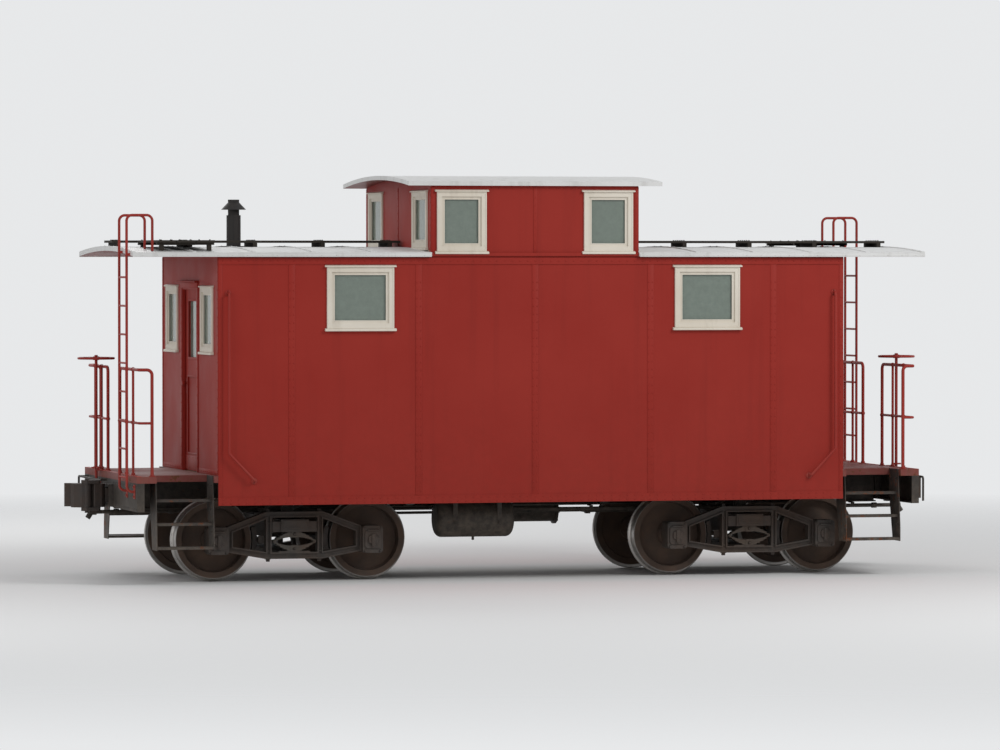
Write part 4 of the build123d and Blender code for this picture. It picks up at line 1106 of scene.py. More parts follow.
@dataclass(frozen=True)
class Hide:
    """Leathercloth of the seats, creased and rubbed."""

    name: str
    colour: Colour
    rubbed: Colour

    def make(self) -> bpy.types.Material:
        """Build the material.

        Returns:
            The material.
        """
        material, sheet, shader = surface(self.name)
        place = sheet.place()
        cells = sheet.add("TexVoronoi", {"Vector": place, "Scale": 260.0}, feature="DISTANCE_TO_EDGE")
        pebble = sheet.ramp(cells.outputs[0], 0.0, 0.12)
        creases = sheet.noise(place, 9.0, 6.0, 0.7)
        wear = sheet.ramp(sheet.noise(place, 3.0, 3.0, 0.5), 0.45, 0.75)
        tone = sheet.mix(wear, self.colour, self.rubbed)
        height = sheet.math("ADD", sheet.math("MULTIPLY", pebble, 0.2), sheet.math("MULTIPLY", creases, 0.6))
        rough = sheet.span(wear, 0.5, 0.36)
        sheet.feed(shader, {"Base Color": tone, "Roughness": rough})
        relief(sheet, shader, height, 0.5, 0.004)
        return material


WHEEL_TREAD = 0.419
RED = (0.288, 0.024, 0.0165)
CREAM = (0.44, 0.40, 0.28)

FINISHES = {
    # body_paint's dust colour is a darker red: the side darkens in specks from 2.4 m down
    "body_paint": Paint(
        "body_paint", RED, (0.315, 0.030, 0.021), (0.15, 0.016, 0.012), gloss=0.46, dull=0.66,
        streaks=0.2, dust=(0.15, 0.024, 0.016), dust_top=2.4, dust_depth=2.0, dust_share=0.35, chips=0.16,
        lined=True, sheen=0.13,
    ),
    "door_paint": Paint(
        "door_paint", RED, (0.315, 0.030, 0.021), (0.15, 0.016, 0.012), gloss=0.46, dull=0.66,
        streaks=0.2, dust_share=0.1, chips=0.22, sheen=0.13,
    ),
    "fittings_paint": Paint(
        "fittings_paint", (0.27, 0.024, 0.017), (0.33, 0.036, 0.026), (0.12, 0.018, 0.013), chips=0.34,
        chip_scale=30.0, sheen=0.2,
    ),
    "deck_paint": Paint(
        "deck_paint", (0.16, 0.024, 0.02), (0.20, 0.05, 0.04), (0.07, 0.03, 0.024), chips=0.5,
        dust_share=0.6, gloss=0.5, dull=0.85, tread_plate=True,
    ),
    "step_paint": Paint(
        "step_paint", (0.016, 0.013, 0.013), (0.035, 0.03, 0.028), (0.05, 0.04, 0.032), gloss=0.5,
        dull=0.85, dust_share=0.5, chips=0.5, tread_plate=True,
    ),
    "roof_paint": Paint(
        "roof_paint", (0.62, 0.62, 0.60), (0.72, 0.72, 0.71), (0.30, 0.28, 0.25), gloss=0.35, dull=0.6,
        streaks=0.3, dust_share=0.0, chips=0.22, underside=(0.20, 0.021, 0.016),
    ),
    "underframe_paint": Paint(
        "underframe_paint", (0.014, 0.012, 0.012), (0.03, 0.027, 0.025), (0.05, 0.04, 0.032), gloss=0.5,
        dull=0.85, dust_share=0.55, chips=0.34,
    ),
    "window_paint": Paint(
        "window_paint", (0.66, 0.60, 0.50), (0.74, 0.69, 0.60), (0.36, 0.30, 0.22), streaks=0.25,
        dust_share=0.1, chips=0.18, chip_scale=26.0,
    ),
    "cast_steel": Casting("cast_steel", (0.03, 0.026, 0.024), (0.085, 0.045, 0.026)),
    "spring_steel": Casting("spring_steel", (0.065, 0.06, 0.052), (0.11, 0.06, 0.036), scale=60.0, metal=0.5),
    "stove_iron": Casting("stove_iron", (0.018, 0.018, 0.019), (0.05, 0.035, 0.028), rust_share=0.3,
                          dust_share=0.1, rough=0.6),
    "wheel_steel": WheelSteel("wheel_steel"),
    "walkway_wood": Wood(
        "walkway_wood", (0.22, 0.19, 0.155), (0.085, 0.07, 0.055), (0.9, 14.0, 14.0), 0.155, 0.0, 0.0,
        rough=0.85, worn=(0.16, 0.15, 0.135),
    ),
    "joinery_wood": Wood(
        "joinery_wood", (0.26, 0.15, 0.07), (0.10, 0.05, 0.022), (1.2, 16.0, 3.0), 0.12, 0.0, 1.0, rough=0.42,
    ),
    "cushion_cover": Hide("cushion_cover", (0.062, 0.030, 0.020), (0.12, 0.062, 0.04)),
    "window_glass": Pane("window_glass", (0.30, 0.36, 0.31)),
}


# Nodes whose finish differs from that of the rest of their slot
OWN_FINISH = {
    "platforms": "deck_paint", "steps": "step_paint", "door_left": "door_paint", "door_right": "door_paint",
}


class PaintShop:
    """Holds the finishes and dresses pieces in them."""

    def __init__(self) -> None:
        """Build every finish."""
        self.finishes = {name: finish.make() for name, finish in FINISHES.items()}

    def dress_frame(self) -> None:
        """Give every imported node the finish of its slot, or its own."""
        for part in frame["record"]["subparts"]:
            name = part["node"]
            finish = self.finishes[OWN_FINISH.get(name, part["material_slot"])]
            for holder in frame["nodes"][name].material_slots:
                holder.material = finish
            log.info("%s: finished as %s", name, finish.name)

    def dress(self, piece: Piece, finish: str, body: str = "carbody", smooth: float = 35.0) -> Piece:
        """Give an added piece its finish and the body that it moves with.

        Args:
            piece: the finished piece.
            finish: name of its finish.
            body: name of the body that it rides on.
            smooth: edges blunter than this many degrees are shaded smooth.

        Returns:
            The same piece.
        """
        pick(piece)
        bpy.ops.object.shade_smooth_by_angle(angle=math.radians(smooth))
        piece.data.materials.clear()
        piece.data.materials.append(self.finishes[finish])
        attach(piece, body)
        log.info("%s: %d faces, on %s", piece.name, len(piece.data.polygons), body)
        return piece

    def sides(self, name: str, pieces: list[Piece], finish: str) -> None:
        """Join pieces of the near side, mirror them to the far side and dress both.

        Args:
            name: the joined pieces' name, with {} for the side.
            pieces: the near side's pieces.
            finish: name of their finish.
        """
        for side, piece in zip(("near", "far"), both_sides(join(name, pieces))):
            piece.name = piece.data.name = name.format(side)
            self.dress(piece, finish)

    def ends(self, name: str, pieces: list[Piece], finish: str, body: str = "carbody") -> None:
        """Join pieces of the right end, turn a copy to the left end and dress both.

        Args:
            name: the joined pieces' name, with {} for the end.
            pieces: the right end's pieces.
            finish: name of their finish.
            body: name of the body that they ride on, with {} for the end where there are two.
        """
        for end, piece in zip(("right", "left"), both_ends(join(name, pieces))):
            piece.name = piece.data.name = name.format(end)
            self.dress(piece, finish, body.format(end))


# Added pieces


@dataclass(frozen=True)
class Car:
    """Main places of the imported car, which the added pieces line up with."""

    side: float
    end: float
    deck: float
    sheet_low: float
    sheet_high: float
    deck_end: float
    roof_end: float
    roof_edge: float
    roof_half: float
    cupola_end: float
    truck: float
    axle: float

    @classmethod
    def measure(cls) -> "Car":
        """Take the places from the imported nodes.

        Returns:
            The places.
        """
        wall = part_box("side_wall_near")
        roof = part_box("roof_right")
        inner, outer = middle(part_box("wheelset_right_1")), middle(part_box("wheelset_right_2"))
        return cls(
            side=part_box("platforms")[1].y,
            end=wall[1].x,
            deck=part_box("platforms")[1].z,
            sheet_low=wall[0].z,
            sheet_high=roof[0].z - 0.015,
            deck_end=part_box("platforms")[1].x,
            roof_end=roof[1].x,
            roof_edge=roof[0].z,
            roof_half=roof[1].y,
            cupola_end=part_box("cupola_sides")[1].x,
            truck=(inner.x + outer.x) / 2,
            axle=inner.z,
        )

    def roof_radius(self, rise: float = 0.06) -> float:
        """Radius of the main roof's arc.

        Args:
            rise: rise of the arc.

        Returns:
            The radius.
        """
        return (self.roof_half**2 + rise**2) / (2 * rise)

    def roof_top(self, across: float, thickness: float = 0.042, rise: float = 0.06) -> float:
        """Height of the main roof's top at a distance from the middle.

        Args:
            across: distance from the middle.
            thickness: thickness of the roof.
            rise: rise of its arc.

        Returns:
            The height.
        """
        radius = self.roof_radius(rise)
        return self.roof_edge + thickness + rise - radius + math.sqrt(radius**2 - across**2)


@dataclass
class SideSheets:
    """Riveted seams of the cabin's sides: straps over the joints and rows of rivets."""

    car: Car
    belt: float = 0.085
    belt_proud: float = 0.008
    strap: float = 0.07
    strap_proud: float = 0.004
    corner: float = 0.045
    rivet: float = 0.0085
    pitch: float = 0.085
    rows_apart: float = 0.042
    head_room: float = 0.07
    first: float = 0.05
    margin: float = 0.02
    end_margin: float = 0.04
    joints: tuple = (-2.66, -1.28, 0.0, 1.28, 2.66)

    def straps(self) -> list[Piece]:
        """Straps over the joints between sheets and at the corners, for the near side.

        Returns:
            The straps.
        """
        car = self.car
        low, high = car.sheet_low + self.belt, car.sheet_high - self.head_room
        face, front = -car.side, -car.side - self.strap_proud
        places = [(x - self.strap / 2, x + self.strap / 2) for x in self.joints]
        places += [(end * (car.end - self.corner), end * car.end) for _, end in ENDS]
        return [
            slab("strap", (start, face, low), (stop, front, high), edge=0.0015)
            for start, stop in places
        ]

    def rivets(self) -> list[Piece]:
        """Rows of rivets along the straps and belts, for the near side.

        Returns:
            The rows.
        """
        car = self.car
        out = (0, -1, 0)
        front = -car.side - self.strap_proud
        low = car.sheet_low + self.belt + self.first
        up = int((car.sheet_high - self.head_room - low - 0.03) / self.pitch)
        columns = [x + side * self.rows_apart / 2 for x in self.joints for side in (-1, 1)]
        columns += [end * (car.end - self.corner / 2) for _, end in ENDS]
        rise = ((0, 0, self.pitch), up)
        rows = [studs(Head.RIVET, (x, front, low), out, self.rivet, rise) for x in columns]
        along = int(2 * (car.end - self.end_margin) / self.pitch) + 1
        start = -(along - 1) * self.pitch / 2
        front = -car.side - self.belt_proud
        levels = (
            car.sheet_low + self.margin, car.sheet_low + self.belt - self.margin,
            car.sheet_high - self.head_room / 2,
        )
        run = ((self.pitch, 0, 0), along)
        rows += [studs(Head.RIVET, (start, front, z), out, self.rivet, run) for z in levels]
        return rows

    def build(self, shop: PaintShop) -> None:
        """Build both sides' seams.

        Args:
            shop: dresses them.
        """
        shop.sides("side_seams_{}", self.straps() + self.rivets(), "body_paint")


@dataclass
class EndSheets:
    """Corner angles, door casing and rivets of the end walls."""

    car: Car
    angle: float = 0.055
    proud: float = 0.005
    rivet: float = 0.0085
    pitch: float = 0.095
    casing: float = 0.06
    casing_proud: float = 0.009
    lintel_proud: float = 0.015
    hood_reach: float = 0.05
    hood_lap: float = 0.03
    hood_high: float = 0.015
    foot_high: float = 0.055
    doorway: tuple = (0.386, 1.972)

    def angles(self) -> list[Piece]:
        """Angles down the corners of the right end, with their rivets.

        Returns:
            The pieces.
        """
        car = self.car
        front = car.end + self.proud
        low, high = car.deck + 0.004, car.roof_edge - 0.012
        rise = ((0, 0, self.pitch), int((high - low - 0.08) / self.pitch))
        pieces = []
        for side in (-1, 1):
            edge = side * (car.side - self.angle)
            pieces.append(
                slab("angle", (car.end, edge, low), (front, side * car.side, high), edge=0.0015)
            )
            place = (front, side * (car.side - self.angle / 2), low + 0.05)
            pieces.append(studs(Head.RIVET, place, (1, 0, 0), self.rivet, rise))
        return pieces

    def doorframe(self) -> list[Piece]:
        """Casing, lintel and hood round the right end's doorway.

        Returns:
            The pieces.
        """
        car = self.car
        face = car.end
        front = face + self.casing_proud
        half, height = self.doorway
        low = car.deck + 0.004
        rise = ((0, 0, self.pitch), int((height - 0.1) / self.pitch))
        pieces = []
        for side in (-1, 1):
            start, stop = side * half, side * (half + self.casing)
            top = car.deck + height
            pieces.append(slab("casing", (face, start, low), (front, stop, top), edge=0.002))
            place = (front, (start + stop) / 2, low + 0.06)
            pieces.append(studs(Head.RIVET, place, (1, 0, 0), self.rivet, rise))
        reach = half + self.casing
        top = car.deck + height
        over = top + self.casing
        pieces.append(
            slab("lintel", (face, -reach, top), (face + self.lintel_proud, reach, over), edge=0.003)
        )
        lap = reach + self.hood_lap
        hood = slab("hood", (face, -lap, over), (face + self.hood_reach, lap, over + self.hood_high))
        with editing(hood, facing((0, 0, 1))):
            bpy.ops.mesh.bevel(offset=0.006, segments=2)
        return [*pieces, hood]

    def feet(self) -> list[Piece]:
        """Flat bars and rivets along the foot of the right end's wall.

        Returns:
            The pieces.
        """
        car = self.car
        front = car.end + self.proud
        pieces = []
        for side in (-1, 1):
            place = (front, side * (car.side - 0.15), car.deck + 0.03)
            inward = ((0, -side * self.pitch, 0), 9)
            pieces.append(studs(Head.RIVET, place, (1, 0, 0), self.rivet, inward))
        for side in (-1, 1):
            edge = side * (car.side - self.angle)
            top = car.deck + self.foot_high
            low = car.deck + 0.004
            pieces.append(
                slab("foot", (car.end, side * 0.47, low), (front, edge, top), edge=0.0015)
            )
        return pieces

    def build(self, shop: PaintShop) -> None:
        """Build both ends' sheets.

        Args:
            shop: dresses them.
        """
        pieces = self.angles() + self.doorframe() + self.feet()
        shop.ends("end_seams_{}", pieces, "body_paint")


@dataclass
class CupolaSheets:
    """Corner straps and rivets of the cupola."""

    car: Car
    low: float = 3.52
    high: float = 4.196
    strap: float = 0.04
    proud: float = 0.004
    rivet: float = 0.0075
    pitch: float = 0.08

    def build(self, shop: PaintShop) -> None:
        """Build the seams of the cupola's sides and ends.

        Args:
            shop: dresses them.
        """
        car = self.car
        half = self.strap / 2
        up = int((self.high - self.low - 0.04) / self.pitch) + 1
        across = int((2 * car.cupola_end - 0.1) / self.pitch)
        near, right = [], []
        face, front = -car.side, -car.side - self.proud
        low = self.low - 0.025
        for x in (-car.cupola_end + half, 0.0, car.cupola_end - half):
            near.append(
                slab("strap", (x - half, face, low), (x + half, front, self.high), edge=0.0015)
            )
            rise = ((0, 0, self.pitch), up)
            near.append(studs(Head.RIVET, (x, front, self.low), (0, -1, 0), self.rivet, rise))
        place = (-(across - 1) * self.pitch / 2, face, self.high - 0.018)
        run = ((self.pitch, 0, 0), across)
        near.append(studs(Head.RIVET, place, (0, -1, 0), self.rivet, run))
        shop.sides("cupola_seams_{}", near, "body_paint")
        face, front = car.cupola_end, car.cupola_end + self.proud
        for side in (-1, 0, 1):
            y = side * (car.side - half)
            low = car.roof_top(abs(y)) + 0.012
            right.append(
                slab("strap", (face, y - half, low), (front, y + half, self.high), edge=0.0015)
            )
            rise = ((0, 0, self.pitch), int((self.high - low - 0.04) / self.pitch) + 1)
            right.append(studs(Head.RIVET, (front, y, low + 0.03), (1, 0, 0), self.rivet, rise))
        shop.ends("cupola_seams_end_{}", right, "body_paint")


@dataclass(frozen=True)
class Window:
    """One window's place: its middle on the wall, the way it faces and its trim's size."""

    place: tuple
    out: tuple
    width: float
    height: float

    def matrix(self) -> Matrix:
        """Where a piece modelled facing -Y about the origin goes.

        Returns:
            The place and turn.
        """
        turn = math.atan2(self.out[1], self.out[0]) + math.pi / 2
        return Matrix.Translation(self.place) @ Matrix.Rotation(turn, 4, "Z")


class Opening(NamedTuple):
    """A kind of window: its offset from the car's middle, its height and its frame's size."""

    offset: float
    z: float
    width: float
    height: float


@dataclass
class WindowTrim:
    """Drip caps, sills, glazing beads and screws of the windows."""

    car: Car
    cabin_side: Opening = Opening(1.915, 3.0195, 0.730, 0.655)
    cabin_end: Opening = Opening(0.905, 2.787, 0.600, 0.690)
    cupola_side: Opening = Opening(0.810, 3.827, 0.545, 0.640)
    cupola_end: Opening = Opening(0.990, 3.847, 0.640, 0.600)
    cap_reach: float = 0.034
    cap_high: float = 0.02
    sill_reach: float = 0.038
    sill_high: float = 0.026
    lap: float = 0.022
    trim: float = 0.016
    moulding: float = 0.014
    bead: float = 0.011
    rim: float = 0.077
    screw: float = 0.005

    def windows(self) -> dict[str, list[Window]]:
        """All the fixed windows.

        Returns:
            The windows of the cabin and of the cupola.
        """
        car = self.car
        rows = {"cabin": [], "cupola": []}
        for _, side in SIDES:
            for _, end in ENDS:
                for name, long_side, short_side, end_x in (
                    ("cabin", self.cabin_side, self.cabin_end, car.end),
                    ("cupola", self.cupola_side, self.cupola_end, car.cupola_end),
                ):
                    offset, z, *size = long_side
                    rows[name].append(Window((end * offset, side * car.side, z), (0, side, 0), *size))
                    offset, z, *size = short_side
                    rows[name].append(Window((end * end_x, side * offset, z), (end, 0, 0), *size))
        return rows

    def ledge(self, name: str, half: float, low: float, high: float, reach: float, slope: float) -> Piece:
        """A cap or sill across the window, thinner at its front.

        Args:
            name: its name.
            half: half the frame's width.
            low: its lower side.
            high: its upper side.
            reach: how far it stands out.
            slope: its front's height, as a share of its back's.

        Returns:
            The ledge.
        """
        piece = slab(name, (-half - self.lap, 0, low), (half + self.lap, -reach, high))
        with editing(piece, facing((0, -1, 0))):
            bpy.ops.transform.resize(value=(1.0, 1.0, slope), center_override=(0, 0, low))
        return piece

    def pattern(self, width: float, height: float) -> Piece:
        """Trim of one window, facing -Y about the origin.

        Args:
            width: outer width of its frame.
            height: outer height of its frame.

        Returns:
            The trim.
        """
        half, rise = width / 2, height / 2
        cap = self.ledge("cap", half, rise - 0.004, rise + self.cap_high, self.cap_reach, 0.5)
        sill = self.ledge("sill", half, -rise - self.sill_high, 0.006 - rise, self.sill_reach, 0.72)
        soften(cap, 0.002)
        soften(sill, 0.003)
        moulding = ring("moulding", width - 0.004, height - 0.004, self.moulding, self.trim + 0.004)
        soften(moulding, 0.002)
        bead = ring("bead", width - 2 * self.rim, height - 2 * self.rim, self.bead, 0.012)
        with editing(bead, lambda *_: True):
            bpy.ops.transform.translate(value=(0, self.trim - 0.006, 0))
        soften(bead, 0.003)
        climb = ((0, 0, (height - 0.12) / 3), 4)
        screws = [
            studs(Head.RIVET, (x, -self.trim, -rise + 0.06), (0, -1, 0), self.screw, climb)
            for x in (0.028 - half, half - 0.028)
        ]
        return join("window_trim", [cap, sill, moulding, bead, *screws])

    def build(self, shop: PaintShop) -> None:
        """Trim every window.

        Args:
            shop: dresses the trim.
        """
        for name, windows in self.windows().items():
            done = []
            for size in sorted({(window.width, window.height) for window in windows}):
                places = [
                    window.matrix() for window in windows if (window.width, window.height) == size
                ]
                done.append(scatter("trim", self.pattern(*size), places))
            shop.dress(join(f"{name}_window_trim", done), "window_paint")


@dataclass
class DoorTrim:
    """Glazing beads, panel mouldings, kick plates and lock plates of the end doors."""

    inner: float = 3.370
    outer: float = 3.415
    glass: tuple = (0.430, 0.620)
    glass_z: float = 2.674
    panel: tuple = (0.520, 0.820)
    panel_z: float = 1.754
    low: float = 1.165
    knob_y: float = -0.310
    knob_z: float = 2.088
    kick: tuple = (0.365, 0.15)
    screws: tuple = (-0.34, -0.17, 0.0, 0.17, 0.34)

    def face(self, out: int) -> Piece:
        """Trim of one face of the right door.

        Args:
            out: 1 for the outer face, -1 for the inner one.

        Returns:
            The trim.
        """
        x = self.outer if out > 0 else self.inner
        bead = ring("bead", self.glass[0] + 0.03, self.glass[1] + 0.03, 0.024, 0.009)
        soften(bead, 0.003)
        panel = ring("panel", self.panel[0] + 0.03, self.panel[1] + 0.03, 0.020, 0.007)
        soften(panel, 0.0025)
        turn = Matrix.Rotation(out * math.pi / 2, 4, "Z")
        bead.data.transform(Matrix.Translation((x, 0, self.glass_z)) @ turn)
        panel.data.transform(Matrix.Translation((x, 0, self.panel_z)) @ turn)
        half, top = self.kick
        kick = slab("kick", (x, -half, self.low), (x + out * 0.004, half, self.low + top), edge=0.001)
        plate = slab(
            "plate", (x, self.knob_y - 0.03, self.knob_z - 0.11),
            (x + out * 0.005, self.knob_y + 0.03, self.knob_z + 0.055), edge=0.0015,
        )
        key_z = self.knob_z - 0.07
        keyhole = rod(
            "keyhole", (x, self.knob_y, key_z), (x + out * 0.008, self.knob_y, key_z),
            0.011, edge=0.0015,
        )
        climb = ((0, 0, top - 2 * 0.02), 2)
        screws = [
            studs(Head.RIVET, (x + out * 0.004, y, self.low + 0.02), (out, 0, 0), 0.006, climb)
            for y in self.screws
        ]
        return join("door_face", [bead, panel, kick, plate, keyhole, *screws])

    def build(self, shop: PaintShop) -> None:
        """Trim both doors.

        Args:
            shop: dresses the trim.
        """
        faces = [self.face(1), self.face(-1)]
        shop.ends("door_trim_{}", faces, "fittings_paint", "door_{}")


@dataclass
class RoofTrim:
    """Bolts of the roof seams and boards, and drip angles along the eaves."""

    car: Car
    seam: float = 0.034
    seam_high: float = 0.009
    seam_step: float = 0.640
    seams: int = 5
    seam_bolt: float = 0.009
    bolts: int = 12
    bolts_apart: float = 0.25
    first: float = 1.375
    drip: float = 0.028
    drip_thick: float = 0.006
    board_bolt: float = 0.008
    saddle: float = 0.1425
    planks: tuple = (-0.195, -0.115, -0.04, 0.04, 0.115, 0.195)
    landing_bolts: tuple = (3.50, 3.615, 3.71, 3.825, 3.92, 4.035)

    def seam_bolts(self) -> list[Piece]:
        """Bolts along the roof's seam caps at the right end.

        Returns:
            The rows.
        """
        car = self.car
        start = car.roof_end - self.seam / 2
        radius = car.roof_radius()
        run = ((-self.seam_step, 0, 0), self.seams)
        rows = []
        for index in range(self.bolts):
            y = index * self.bolts_apart - self.first
            z = car.roof_top(abs(y)) + self.seam_high - 0.0005
            place, out = (start, y, z), (0, y / radius, 1)
            rows.append(studs(Head.RIVET, place, out, self.seam_bolt, run))
        return rows

    def drips(self) -> list[Piece]:
        """Drip angles along the eaves of the right roof, with their rivets.

        Returns:
            The strips.
        """
        car = self.car
        pieces = []
        for side in (-1, 1):
            y = side * car.roof_half
            front = y + side * self.drip_thick
            low = (car.cupola_end + 0.005, y, car.roof_edge - 0.006)
            high = (car.roof_end, front, car.roof_edge + self.drip)
            pieces.append(slab("drip", low, high, edge=0.002))
            place = (car.cupola_end + 0.08, front, car.roof_edge + 0.012)
            run = ((0.16, 0, 0), 20)
            pieces.append(studs(Head.RIVET, place, (0, side, 0), 0.006, run))
        return pieces

    def board_bolts(self) -> list[Piece]:
        """Bolts that hold the running boards to their saddles, at the right end.

        Returns:
            The rows.
        """
        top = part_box("running_boards")[1].z
        start = self.car.cupola_end + self.saddle
        step = (self.car.roof_end - self.car.cupola_end - 0.24) / 4
        rows = [
            studs(Head.BOLT, (start, y, top), (0, 0, 1), self.board_bolt, ((step, 0, 0), 5))
            for y in self.planks
        ]
        rows += [
            studs(Head.BOLT, (x, 0.3125, top), (0, 0, 1), self.board_bolt, ((0, 0.955, 0), 2))
            for x in self.landing_bolts
        ]
        return rows

    def build(self, shop: PaintShop) -> None:
        """Build both ends' roof trim.

        Args:
            shop: dresses it.
        """
        shop.ends("roof_trim_{}", self.seam_bolts() + self.drips(), "roof_paint")
        shop.ends("board_bolts_{}", self.board_bolts(), "underframe_paint")


@dataclass
class EndFittings:
    """Feet, brackets and bolts of the ladder, railings, handholds and brake staff at one end."""

    car: Car
    ladder_y: float = 1.130
    ladder_half: float = 0.200
    ladder_x: float = 4.404
    foot_z: float = 0.988
    rail_x: float = 4.280
    gate: float = 0.330
    corner: float = 1.405
    corner_x: float = 4.150
    bars: tuple = ((1.708,), (1.708, 2.267), (1.708, 2.267))
    brake_y: float = -0.560
    brake_x: float = 4.365
    grips: tuple = ((3.345, 3.071), (3.065, 1.092))
    plate: float = 0.008
    small_bolt: float = 0.0065

    def ladder(self) -> list[Piece]:
        """Bolted feet on the end sill and brackets at the roof's edge, at the right end.

        Returns:
            The pieces.
        """
        car = self.car
        front = car.deck_end + self.plate
        pieces = []
        for side in (-1, 1):
            y = self.ladder_y + side * self.ladder_half
            z = self.foot_z
            low, high = (car.deck_end, y - 0.035, z - 0.075), (front, y + 0.035, z + 0.075)
            pieces.append(slab("foot", low, high, edge=0.002))
            place = (front, y, z - 0.05)
            pieces.append(studs(Head.BOLT, place, (1, 0, 0), 0.011, ((0, 0, 0.1), 2)))
            z = car.roof_top(abs(y)) - 0.030
            low = (car.roof_end - 0.02, y - 0.018, z - 0.018)
            pieces.append(slab("bracket", low, (self.ladder_x, y + 0.018, z + 0.010), edge=0.003))
        return pieces

    def posts(self, side: int) -> list[tuple[float, float]]:
        """Where the railing's posts stand between its gate and its corner, at the right end.

        Args:
            side: -1 or 1, the half of the platform.

        Returns:
            The places, as x and y.
        """
        bay = (self.corner - self.gate) / 3
        return [(self.rail_x, side * (self.gate + index * bay)) for index in range(3)]

    def railing_feet(self) -> list[Piece]:
        """Round flanges with bolts under the railing's posts, at the right end.

        Returns:
            The feet.
        """
        pieces = []
        z = self.car.deck
        for side in (-1, 1):
            for x, y in [*self.posts(side), (self.corner_x, side * self.corner)]:
                flange = (x, y, z + self.plate)
                pieces.append(rod("flange", (x, y, z), flange, 0.036, sides=20, edge=0.002))
                low, high = (x, y, z + 0.006), (x, y, z + 0.026)
                pieces.append(rod("collar", low, high, 0.022, sides=16, edge=0.003))
                place, pair = (x, y - 0.027, z + self.plate), ((0, 0.054, 0), 2)
                pieces.append(studs(Head.BOLT, place, (0, 0, 1), self.small_bolt, pair))
        return pieces

    def joints(self) -> list[Piece]:
        """Ball joints where the railing's bars cross, at the right end.

        Returns:
            The balls.
        """
        return [
            ball((x, y, z), 0.024, 14, 8)
            for side in (-1, 1)
            for (x, y), heights in zip(self.posts(side), self.bars)
            for z in heights
        ]

    def ratchet(self) -> list[Piece]:
        """Toothed wheel and pawl at the foot of the brake staff, and the nut over its hand wheel.

        Returns:
            The pieces.
        """
        x, y, z = self.brake_x, self.brake_y, self.car.deck + 0.02
        wheel = rod("ratchet", (x, y, z), (x, y, z + 0.016), 0.046, sides=28)
        teeth = [face.index % 2 == 0 for face in wheel.data.polygons]
        centres = {tuple(face.center): teeth[face.index] for face in wheel.data.polygons}
        with editing(wheel, lambda centre, normal: abs(normal.z) < 0.1 and centres[tuple(centre)]):
            bpy.ops.mesh.extrude_region_shrink_fatten(TRANSFORM_OT_shrink_fatten={"value": 0.008})
        pawl = slab("pawl", (x - 0.014, y + 0.05, z), (x + 0.012, y + 0.12, z + 0.014), edge=0.003)
        low, high = (x - 0.004, y + 0.105, z - 0.02), (x - 0.004, y + 0.105, z + 0.026)
        pin = rod("pin", low, high, 0.008, edge=0.001)
        low, high = (self.car.deck_end - 0.03, y + 0.085, z - 0.02), (x + 0.012, y + 0.125, z - 0.01)
        strap = slab("strap", low, high, edge=0.002)
        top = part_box("hand_brakes")[1].z
        nut = head(Head.BOLT, (x, y, top - 0.006), (0, 0, 1), 0.019)
        return [wheel, pawl, pin, strap, nut]

    def handholds(self) -> list[Piece]:
        """Round feet of the curved handholds on the near side's right end.

        Returns:
            The feet.
        """
        face = -self.car.side
        front = face - self.plate
        pieces = []
        for x, z in self.grips:
            pieces.append(rod("foot", (x, face, z), (x, front, z), 0.032, sides=20, edge=0.002))
            place, pair = (x, front, z - 0.022), ((0, 0, 0.044), 2)
            pieces.append(studs(Head.BOLT, place, (0, -1, 0), self.small_bolt, pair))
        return pieces

    def build(self, shop: PaintShop) -> None:
        """Build the fittings of both ends.

        Args:
            shop: dresses them.
        """
        rows = {
            "ladder_brackets_{}": self.ladder(),
            "railing_feet_{}": self.railing_feet() + self.joints(),
            "brake_ratchet_{}": self.ratchet(),
            "handhold_feet_{}": both_sides(join("handhold_feet", self.handholds())),
        }
        for name, pieces in rows.items():
            shop.ends(name, pieces, "fittings_paint")


@dataclass
class SillFittings:
    """Rivets of the end sills, bolts and noses of the steps, and the edge of the deck."""

    car: Car
    sill_low: float = 0.778
    sill_high: float = 1.078
    margin: float = 0.03
    rivet: float = 0.010
    step_bolt: float = 0.009
    step_bolts: tuple = ((1.16, 1.05), (1.33, 1.05), (1.30, 0.80), (1.36, 0.56))
    step_faces: tuple = ((3.498, 1), (4.102, -1))
    insets: tuple = (0.100, 0.060, 0.0)
    rise: float = 0.248

    def fastenings(self) -> list[Piece]:
        """Rivets of the sill and bolts of the steps, at the right end.

        Returns:
            The heads.
        """
        face = self.car.deck_end
        run = ((0, 0.11, 0), 12)
        pieces = [
            studs(Head.RIVET, (face, start, z), (1, 0, 0), self.rivet, run)
            for z in (self.sill_low + self.margin, self.sill_high - self.margin)
            for start in (-1.41, 0.20)
        ]
        pieces += [
            head(Head.BOLT, (x, side * y, z), (out, 0, 0), self.step_bolt)
            for side in (-1, 1)
            for x, out in self.step_faces
            for y, z in self.step_bolts
        ]
        return pieces

    def noses(self) -> list[Piece]:
        """Strips along the front of each step, at the right end.

        Returns:
            The strips.
        """
        pieces = []
        for side in (-1, 1):
            for index, inset in enumerate(self.insets, 1):
                top = self.car.deck - index * self.rise
                y = side * (self.car.side - inset)
                low, high = (3.50, y - side * 0.035, top), (4.10, y, top + 0.006)
                pieces.append(slab("nose", low, high, edge=0.002))
        return pieces

    def build(self, shop: PaintShop) -> None:
        """Build the fittings of both ends.

        Args:
            shop: dresses them.
        """
        car = self.car
        low, high = (car.deck_end - 0.05, -car.side, car.deck), (car.deck_end, car.side, car.deck + 0.004)
        shop.ends("sill_bolts_{}", self.fastenings(), "underframe_paint")
        shop.ends("step_noses_{}", self.noses(), "step_paint")
        shop.ends("deck_edge_{}", [slab("edge", low, high, edge=0.0015)], "fittings_paint")


